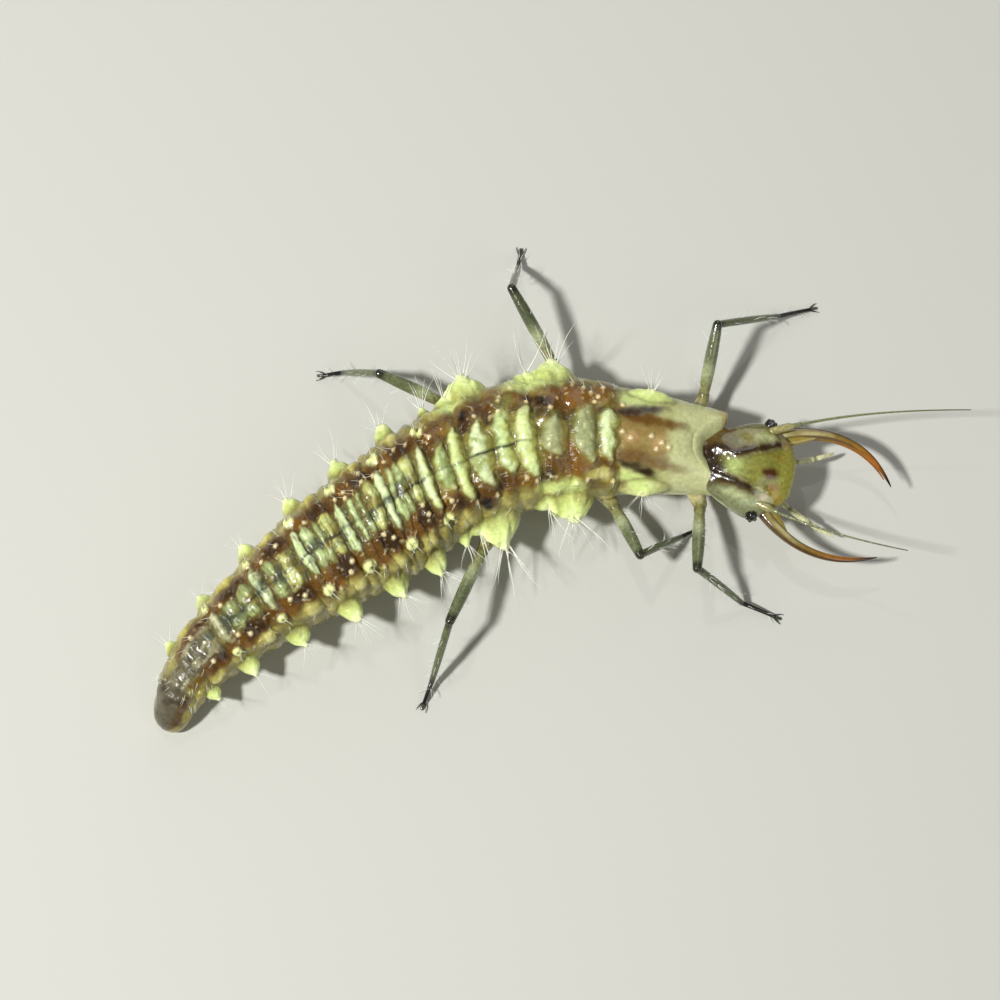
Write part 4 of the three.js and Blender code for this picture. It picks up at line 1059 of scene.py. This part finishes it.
for name, sign in (("left", 1), ("right", -1)):
    lay = jawLayout[name]
    steps, sides = jawLayout["steps"], jawLayout["sides"]
    line = bowedLine(lay["root"], lay["tip"], lay["bow"], lay["bend"], steps, jawLayout["arch"])
    t = np.linspace(0, 1, steps)
    tt = alongTube(t, sides)
    outer = np.cos(np.linspace(0, 2 * math.pi, sides, endpoint=False))[None, :] * sign  # 1 on the outer edge
    streaks = valueNoise(np.stack([tt * 9, outer * 1.5 + 0 * tt, 0 * tt], -1), 1.0, 31)
    c = jawColours
    tint = plainTint((steps, sides), c["base"])
    tint = paint(tint, c["clear"], ease(0.45, 0.75, streaks) * 0.8)
    tint = paint(tint, c["amber"], ease(0.4, 0.66, tt - 0.08 * outer))
    tint = paint(tint, c["orange"], ease(0.6, 0.8, tt + 0.05 * streaks))
    tint = paint(tint, c["outer"], 0.9 * ease(0.05, 0.6, outer) * ease(0.0, 0.1, tt))
    innerLine = 0.7 * ease(-0.45, -0.8, outer) * ease(0.08, 0.25, tt) * ease(0.75, 0.55, tt)
    tint = paint(tint, c["outer"], innerLine)
    tint = paint(tint, c["tip"], ease(0.78, 0.95, tt + 0.04 * outer))
    jaw = newTubes()
    addTube(jaw, line, jawRadius(t), sides, tint, 0.85)
    sides = jawLayout["lowerSides"]
    low = line[: int(steps * jawLayout["lowerEnd"])] - headUp * jawLayout["lowerDrop"]
    low = low - headLeft * sign * jawLayout["lowerInwards"]
    tt = alongTube(np.linspace(0, 1, len(low)), sides)
    tint = paint(plainTint(tt.shape, c["lower"]), c["orange"], ease(0.35, 0.65, tt))
    addTube(jaw, low, lowerRadius(np.linspace(0, 1, len(low))), sides, tint, 0.8)
    # the root widens inwards into a flat flange
    count, sides = jawLayout["flangeSteps"], jawLayout["flangeSides"]
    inner = line[int(steps * jawLayout["flangeFrom"])] - headLeft * sign * jawLayout["flangeInwards"]
    t = np.linspace(0, 1, count)
    flange = inner + (line[int(steps * jawLayout["flangeTo"])] - inner) * t[:, None]
    addTube(jaw, flange, flangeRadius(t), sides, plainTint((count, sides), c["flange"]), 0.5)
    finish(tubesPiece(jaw, "jaw_" + name + "_horn", jawHorn), "jaw", "jaw_" + name)

# Feelers: ringed antennae on short stout bases, and three-jointed palps.
antennaLayout = {
    "left": {"root": (0.86, 0.58, 0.16), "tip": (3.52, 1.48, 0.55), "bow": 0.10, "bend": 0.4},
    "right": {"root": (0.86, -0.50, 0.17), "tip": (3.00, -0.80, 0.70), "bow": -0.08, "bend": 0.4},
    "steps": 180, "sides": 14, "rings": 34, "scape": 0.06, "scapeEnd": 0.13, "pedicelEnd": 0.18,
    "flagellum": 0.027, "tipRadius": 0.008,
    "pale": "#7d7f56", "dark": "#3d3c28", "scapeTint": "#979058",
}
palpLayout = {
    "left": {"root": (1.05, 0.28, -0.26), "tip": (1.87, 0.66, -0.40), "bow": -0.05, "bend": 0.5},
    "right": {"root": (1.05, -0.16, -0.26), "tip": (2.10, -0.56, -0.40), "bow": -0.05, "bend": 0.5},
    "steps": 60, "sides": 16, "pale": "#cfd0a0", "joint": "#7d7647",
    "radius": [(0, 0.05), (0.1, 0.052), (0.3, 0.044), (0.34, 0.032), (0.4, 0.044), (0.62, 0.042),
               (0.66, 0.029), (0.72, 0.038), (0.9, 0.029), (1, 0.011)],
    "joints": (0.34, 0.66),
}
palpRadius = smoothThrough(palpLayout["radius"])
for name in ("left", "right"):
    lay, look = antennaLayout[name], antennaLayout
    line = bowedLine(lay["root"], lay["tip"], lay["bow"], lay["bend"], look["steps"])
    t = np.linspace(0, 1, look["steps"])
    ringed = np.abs(np.sin(math.pi * look["rings"] * t)) ** 0.5
    radius = (look["flagellum"] + (look["tipRadius"] - look["flagellum"]) * t) * (0.82 + 0.18 * ringed)
    radius = np.where(t < look["pedicelEnd"], look["flagellum"] * 1.35, radius)
    scape = look["scape"] * (1 - 0.3 * ease(0.1, look["scapeEnd"], t))
    radius = np.where(t < look["scapeEnd"], scape, radius)
    tt = alongTube(t, look["sides"])
    tint = plainTint(tt.shape, look["pale"])
    tint = paint(tint, look["dark"], alongTube(1 - ringed, look["sides"]) * 0.7 + 0.6 * ease(0.6, 1.0, tt))
    tint = paint(tint, look["scapeTint"], ease(0.14, 0.12, tt))
    feeler = newTubes()
    addTube(feeler, line, radius, look["sides"], tint)
    finish(tubesPiece(feeler, "antenna_" + name + "_rings", limbHorn), "feeler", "antenna_" + name)

    lay, look = palpLayout[name], palpLayout
    line = bowedLine(lay["root"], lay["tip"], lay["bow"], lay["bend"], look["steps"])
    t = np.linspace(0, 1, look["steps"])
    atJoint = sum(np.exp(-((t - joint) / 0.03) ** 2) for joint in look["joints"])
    tint = plainTint((look["steps"], look["sides"]), look["pale"])
    tint = paint(tint, look["joint"], alongTube(atJoint, look["sides"]))
    feeler = newTubes()
    addTube(feeler, line, palpRadius(t), look["sides"], tint)
    finish(tubesPiece(feeler, "palp_" + name + "_joints", limbHorn), "feeler", "palp_" + name)
print("jaws and feelers made")

# Legs, each from its hip by trochanter, knee and ankle to its toe.
legs = {
    "leg_front_left": [(2.7, 0.85, 0.62), (2.92, 1.32, 0.5), (3.12, 2.31, 1.1), (4.1, 2.75, 0.22),
                       (4.58, 2.9, 0.08)],
    "leg_front_right": [(2.75, 0.1, 0.62), (2.86, -0.2, 0.52), (2.77, -1.26, 1.0), (3.46, -1.57, 0.22),
                        (3.93, -1.74, 0.08)],
    "leg_middle_left": [(1.0, 1.3, 0.65), (0.82, 1.78, 0.6), (0.17, 2.86, 1.1), (0.27, 3.52, 0.22),
                        (0.3, 3.76, 0.08)],
    "leg_middle_right": [(1.3, 0.15, 0.62), (1.6, -0.2, 0.58), (1.98, -1.03, 0.85), (2.6, -0.6, 0.22),
                         (2.84, -0.46, 0.08)],
    "leg_hind_left": [(-0.3, 1.0, 0.62), (-0.7, 1.24, 0.58), (-1.73, 1.62, 0.95), (-2.3, 1.88, 0.22),
                      (-2.58, 1.88, 0.08)],
    "leg_hind_right": [(-0.02, -0.3, 0.62), (-0.2, -0.8, 0.56), (-0.7, -2.02, 1.0), (-0.97, -2.72, 0.22),
                       (-1.08, -3.0, 0.08)],
}
legLook = {
    "sides": 22, "coxa": (0.17, 0.105), "trochanter": 0.088, "femur": (0.074, 0.092, 0.088, 0.068),
    "tibia": (0.055, 0.056, 0.052, 0.04), "tarsus": (0.036, 0.027), "ankleHeight": 0.17, "toeHeight": 0.04,
    "claw": 0.012, "clawTip": 0.003, "clawLength": 0.12, "clawSteps": 9, "clawSides": 8, "pad": 0.034,
    "hairLength": (0.08, 0.17), "darkness": 0.4, "middleLeftDarkness": 0.75,
    "clear": "#747c54", "clearWarm": "#8c8752", "shade": "#383d28", "joint": "#1f1d13", "foot": "#161410",
    "coxaTint": "#b7b07a", "light": "#bcc49a",
}


def limb(leg, start, end, radii, tints, steps=26, bow=0.0):
    # one length of a leg: radii are spread along it, and tints are a colour and then others laid over it,
    # each with a mask of the place along
    sides = legLook["sides"]
    t = np.linspace(0, 1, steps)
    line = start + (end - start) * t[:, None] + (np.sin(math.pi * t) * bow)[:, None] * np.array([0, 0, 1.0])
    radius = smoothThrough([(i / (len(radii) - 1), r) for i, r in enumerate(radii)])(t)
    tint = plainTint((steps, sides), legLook[tints[0]])
    for colour, mask in tints[1:]:
        tint = paint(tint, legLook[colour], alongTube(mask(t), sides))
    addTube(leg, line, radius, sides, tint)


legHairs = []
for name, joints in legs.items():
    hip, trochanter, knee, ankle, toe = (np.array(j, float) for j in joints)
    look = legLook
    ankle[2], toe[2] = look["ankleHeight"], look["toeHeight"]
    into = trochanter + (knee - trochanter) * 0.1
    darkness = look["middleLeftDarkness"] if name == "leg_middle_left" else look["darkness"]
    leg = newTubes()
    limb(leg, hip, trochanter, look["coxa"], ["coxaTint", ("clearWarm", lambda t: ease(0.6, 1, t))])
    limb(leg, trochanter, into, [look["trochanter"]] * 2, [
        "clearWarm", ("joint", lambda t: 0.4 * ease(0.6, 1, t))], 8)
    limb(leg, into, knee, look["femur"], [
        "clear", ("clearWarm", lambda t: 0.6 * ease(0.5, 0.1, t)),
        ("shade", lambda t: darkness * ease(0.2, 0.6, t)),
        ("light", lambda t: 0.5 * np.exp(-((t - 0.35) / 0.12) ** 2)),
        ("joint", lambda t: 0.9 * ease(0.88, 0.98, t))], 34, 0.03)
    limb(leg, knee, ankle, look["tibia"], [
        "clear", ("shade", lambda t: darkness + 0.1 + 0 * t),
        ("joint", lambda t: np.maximum(0.8 * ease(0.12, 0.03, t), ease(0.8, 1.0, t)))], 30, 0.02)
    limb(leg, ankle, toe, look["tarsus"], ["foot"], 16, 0.01)
    ahead = unit((toe - ankle) * [1, 1, 0])
    aside = np.cross([0, 0, 1.0], ahead)
    t = np.linspace(0, 1, look["clawSteps"])[:, None]
    clawRadii = np.linspace(look["claw"], look["clawTip"], look["clawSteps"])
    clawTint = plainTint((look["clawSteps"], look["clawSides"]), look["foot"])
    for sign in (-1, 1):
        spreadOut = aside * sign * (0.02 + 0.05 * np.sin(math.pi * t / 2))
        dip = np.array([0, 0, 1.0]) * (0.012 * np.sin(math.pi * t) - 0.026 * t)
        claw = toe + ahead * look["clawLength"] * t + spreadOut + dip
        addTube(leg, claw, clawRadii, look["clawSides"], clawTint)
    pad = np.array([toe + ahead * 0.02, toe + ahead * 0.085 - [0, 0, 0.012]])
    addTube(leg, pad, [0.018, look["pad"] * 0.7], 14, plainTint((2, 14), look["shade"]), 0.6)
    finish(tubesPiece(leg, name + "_skin", limbHorn), "leg", name)
    # hairs on each length: (start, end, radius, number)
    lengthsOfLeg = ((into, knee, 0.1, 22), (knee, ankle, 0.06, 20), (ankle, toe, 0.036, 6))
    for start, end, radius, number in lengthsOfLeg:
        line = unit(end - start)
        for _ in range(number):
            spoke = rng.normal(size=3)
            spoke = unit(spoke - line * (spoke @ line))
            place = start + (end - start) * rng.uniform(0.08, 0.95) + spoke * radius * 0.8
            if spoke[2] > -0.6:
                legHairs.append((place, unit(spoke + line * 0.9), rng.uniform(*look["hairLength"])))
shortRoots += [(*hair, (k / len(legHairs), 0.95)) for k, hair in enumerate(legHairs)]
print("legs made")

# Bristles: one curved, tapering hair is grown from every root.
tree = bpy.data.node_groups.new("bristles", "GeometryNodeTree")
tree.interface.new_socket("Roots", in_out="INPUT", socket_type="NodeSocketGeometry")
sockets = {}
for name in ("Thickness", "Bend", "Tip share"):
    sockets[name] = tree.interface.new_socket(name, in_out="INPUT", socket_type="NodeSocketFloat").identifier
tree.interface.new_socket("Bristles", in_out="OUTPUT", socket_type="NodeSocketGeometry")
given = addNode(tree, "NodeGroupInput")
bow = addNode(tree, "ShaderNodeCombineXYZ", {}, {"X": given.outputs["Bend"], "Z": 0.6})
curve = addNode(tree, "GeometryNodeCurveQuadraticBezier", {}, {
    "Resolution": hairLayout["steps"], "Start": (0, 0, 0), "Middle": bow.outputs[0], "End": (0, 0, 1)})
station = addNode(tree, "GeometryNodeSplineParameter")
narrow = addNode(tree, "ShaderNodeMapRange", {}, {
    "Value": station.outputs["Factor"], "To Min": 1.0, "To Max": given.outputs["Tip share"]})
ring = addNode(tree, "GeometryNodeCurvePrimitiveCircle", {}, {
    "Resolution": hairLayout["sides"], "Radius": given.outputs["Thickness"]})
hair = addNode(tree, "GeometryNodeCurveToMesh", {}, {
    "Curve": curve.outputs[0], "Profile Curve": ring.outputs[0], "Scale": narrow.outputs[0],
    "Fill Caps": True})
way = addNode(tree, "GeometryNodeInputNamedAttribute", {"data_type": "FLOAT_VECTOR"}, {"Name": "aimed"})
reach = addNode(tree, "GeometryNodeInputNamedAttribute", {"data_type": "FLOAT"}, {"Name": "reach"})
spin = addNode(tree, "FunctionNodeRandomValue", {"data_type": "FLOAT"}, {"Seed": 5})
swung = addNode(tree, "ShaderNodeMath", {"operation": "MULTIPLY"}, {0: spin.outputs[1], 1: 2 * math.pi})
rolled = addNode(tree, "FunctionNodeAxisAngleToRotation", {}, {"Axis": (0, 0, 1), "Angle": swung.outputs[0]})
aimedAt = addNode(tree, "FunctionNodeAlignRotationToVector", {"axis": "Z"}, {"Vector": way.outputs[0]})
posed = addNode(tree, "FunctionNodeRotateRotation", {"rotation_space": "LOCAL"}, {
    "Rotation": aimedAt.outputs[0], "Rotate By": rolled.outputs[0]})
placed = addNode(tree, "GeometryNodeInstanceOnPoints", {}, {
    "Points": given.outputs["Roots"], "Instance": hair.outputs[0], "Rotation": posed.outputs[0],
    "Scale": reach.outputs[0]})
real = addNode(tree, "GeometryNodeRealizeInstances", {}, {"Geometry": placed.outputs[0]})
coloured = addNode(tree, "GeometryNodeSetMaterial", {}, {
    "Geometry": real.outputs[0], "Material": bristleHorn})
addNode(tree, "NodeGroupOutput", {}, {"Bristles": coloured.outputs[0]})


def growBristles(name, roots, look):
    # roots are (place in mm, way out, length in mm, place on the skin's unwrap)
    cloud = bpy.data.meshes.new(name)
    cloud.from_pydata(toFrame([r[0] for r in roots]).tolist(), [], [])
    aimed = cloud.attributes.new("aimed", "FLOAT_VECTOR", "POINT")
    aimed.data.foreach_set("vector", np.array([r[1] for r in roots], np.float32).ravel())
    reach = cloud.attributes.new("reach", "FLOAT", "POINT")
    reach.data.foreach_set("value", np.array([r[2] * mm for r in roots], np.float32))
    holder = bpy.data.objects.new(name + " roots", cloud)
    bpy.context.scene.collection.objects.link(holder)
    grown = holder.modifiers.new("bristles", "NODES")
    grown.node_group = tree
    for key, value in look.items():
        grown[sockets[key]] = value
    mesh = bpy.data.meshes.new_from_object(holder.evaluated_get(bpy.context.evaluated_depsgraph_get()))
    bpy.data.objects.remove(holder)
    mesh.name = name
    for key in ("aimed", "reach"):
        if key in mesh.attributes:
            mesh.attributes.remove(mesh.attributes[key])
    # no tip goes below the ground
    places = np.zeros(len(mesh.vertices) * 3, np.float32)
    mesh.vertices.foreach_get("co", places)
    places[2::3] = np.maximum(places[2::3], 0.0)
    mesh.vertices.foreach_set("co", places)
    # each bristle's map is a small patch at its root's place on the skin
    perHair = len(mesh.vertices) // len(roots)
    corners = np.zeros(len(mesh.loops), np.int32)
    mesh.loops.foreach_get("vertex_index", corners)
    patch = np.array([r[3] for r in roots])[corners // perHair]
    within = corners % perHair / perHair * 2 * math.pi
    patch = patch + np.stack([np.cos(within), np.sin(within)], -1) * hairLayout["patch"] / 2
    mesh.uv_layers.new(name="OFBake").data.foreach_set("uv", patch.astype(np.float32).ravel())
    mesh.polygons.foreach_set("use_smooth", [True] * len(mesh.polygons))
    piece = bpy.data.objects.new(name, mesh)
    bpy.context.scene.collection.objects.link(piece)
    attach(piece, "root")
    print(name, len(roots), "bristles", len(mesh.polygons), "faces")


# Radius and bend are shares of a bristle's length, and the tip's radius is a share of the root's.
longShape = {"Thickness": 0.015, "Bend": 0.10, "Tip share": 0.2}
shortShape = {"Thickness": 0.03, "Bend": 0.12, "Tip share": 0.3}
growBristles("bristles_long", longRoots, longShape)
growBristles("bristles_short", shortRoots, shortShape)

# Stage: a plain pale floor and soft studio light. Lamps are placed and sized in mm.
stageLook = {"card": "#c2c2b9", "cardRoughness": 0.85, "air": 0.12}
floor = bpy.data.objects.new("floor", bpy.data.meshes.new("floor"))
floor.data.from_pydata([(-1, -1, 0), (1, -1, 0), (1, 1, 0), (-1, 1, 0)], [], [(0, 1, 2, 3)])
# Matt card: one even pale tone that takes a soft shadow.
card = bpy.data.materials.new("pale matt card")
card.use_nodes = True
shader = card.node_tree.nodes["Principled BSDF"]
shader.inputs["Base Color"].default_value = hexColour(stageLook["card"])
shader.inputs["Roughness"].default_value = stageLook["cardRoughness"]
floor.data.materials.append(card)
bpy.context.scene.collection.objects.link(floor)
lamps = {
    "key": {"from": (-40, -16, 66), "size": 8, "watts": 0.068},
    "fill": {"from": (50, -40, 60), "size": 60, "watts": 0.012},
    "back": {"from": (10, 70, 40), "size": 50, "watts": 0.009},
    "sparkle": {"from": (-14, 36, 70), "size": 3, "watts": 0.005},
}
for name, lamp in lamps.items():
    light = bpy.data.lights.new(name, "AREA")
    light.shape = "DISK"
    light.size = lamp["size"] * mm
    light.energy = lamp["watts"]
    holder = bpy.data.objects.new(name, light)
    holder.location = Vector(lamp["from"]) * mm
    holder.rotation_euler = (-Vector(lamp["from"])).to_track_quat("-Z", "Y").to_euler()
    bpy.context.scene.collection.objects.link(holder)
world = bpy.data.worlds.new("studio")
world.use_nodes = True
world.node_tree.nodes["Background"].inputs["Color"].default_value = (1, 1, 1, 1)
world.node_tree.nodes["Background"].inputs["Strength"].default_value = stageLook["air"]
bpy.context.scene.world = world
bpy.context.scene.view_settings.view_transform = "Standard"
print("stage set")
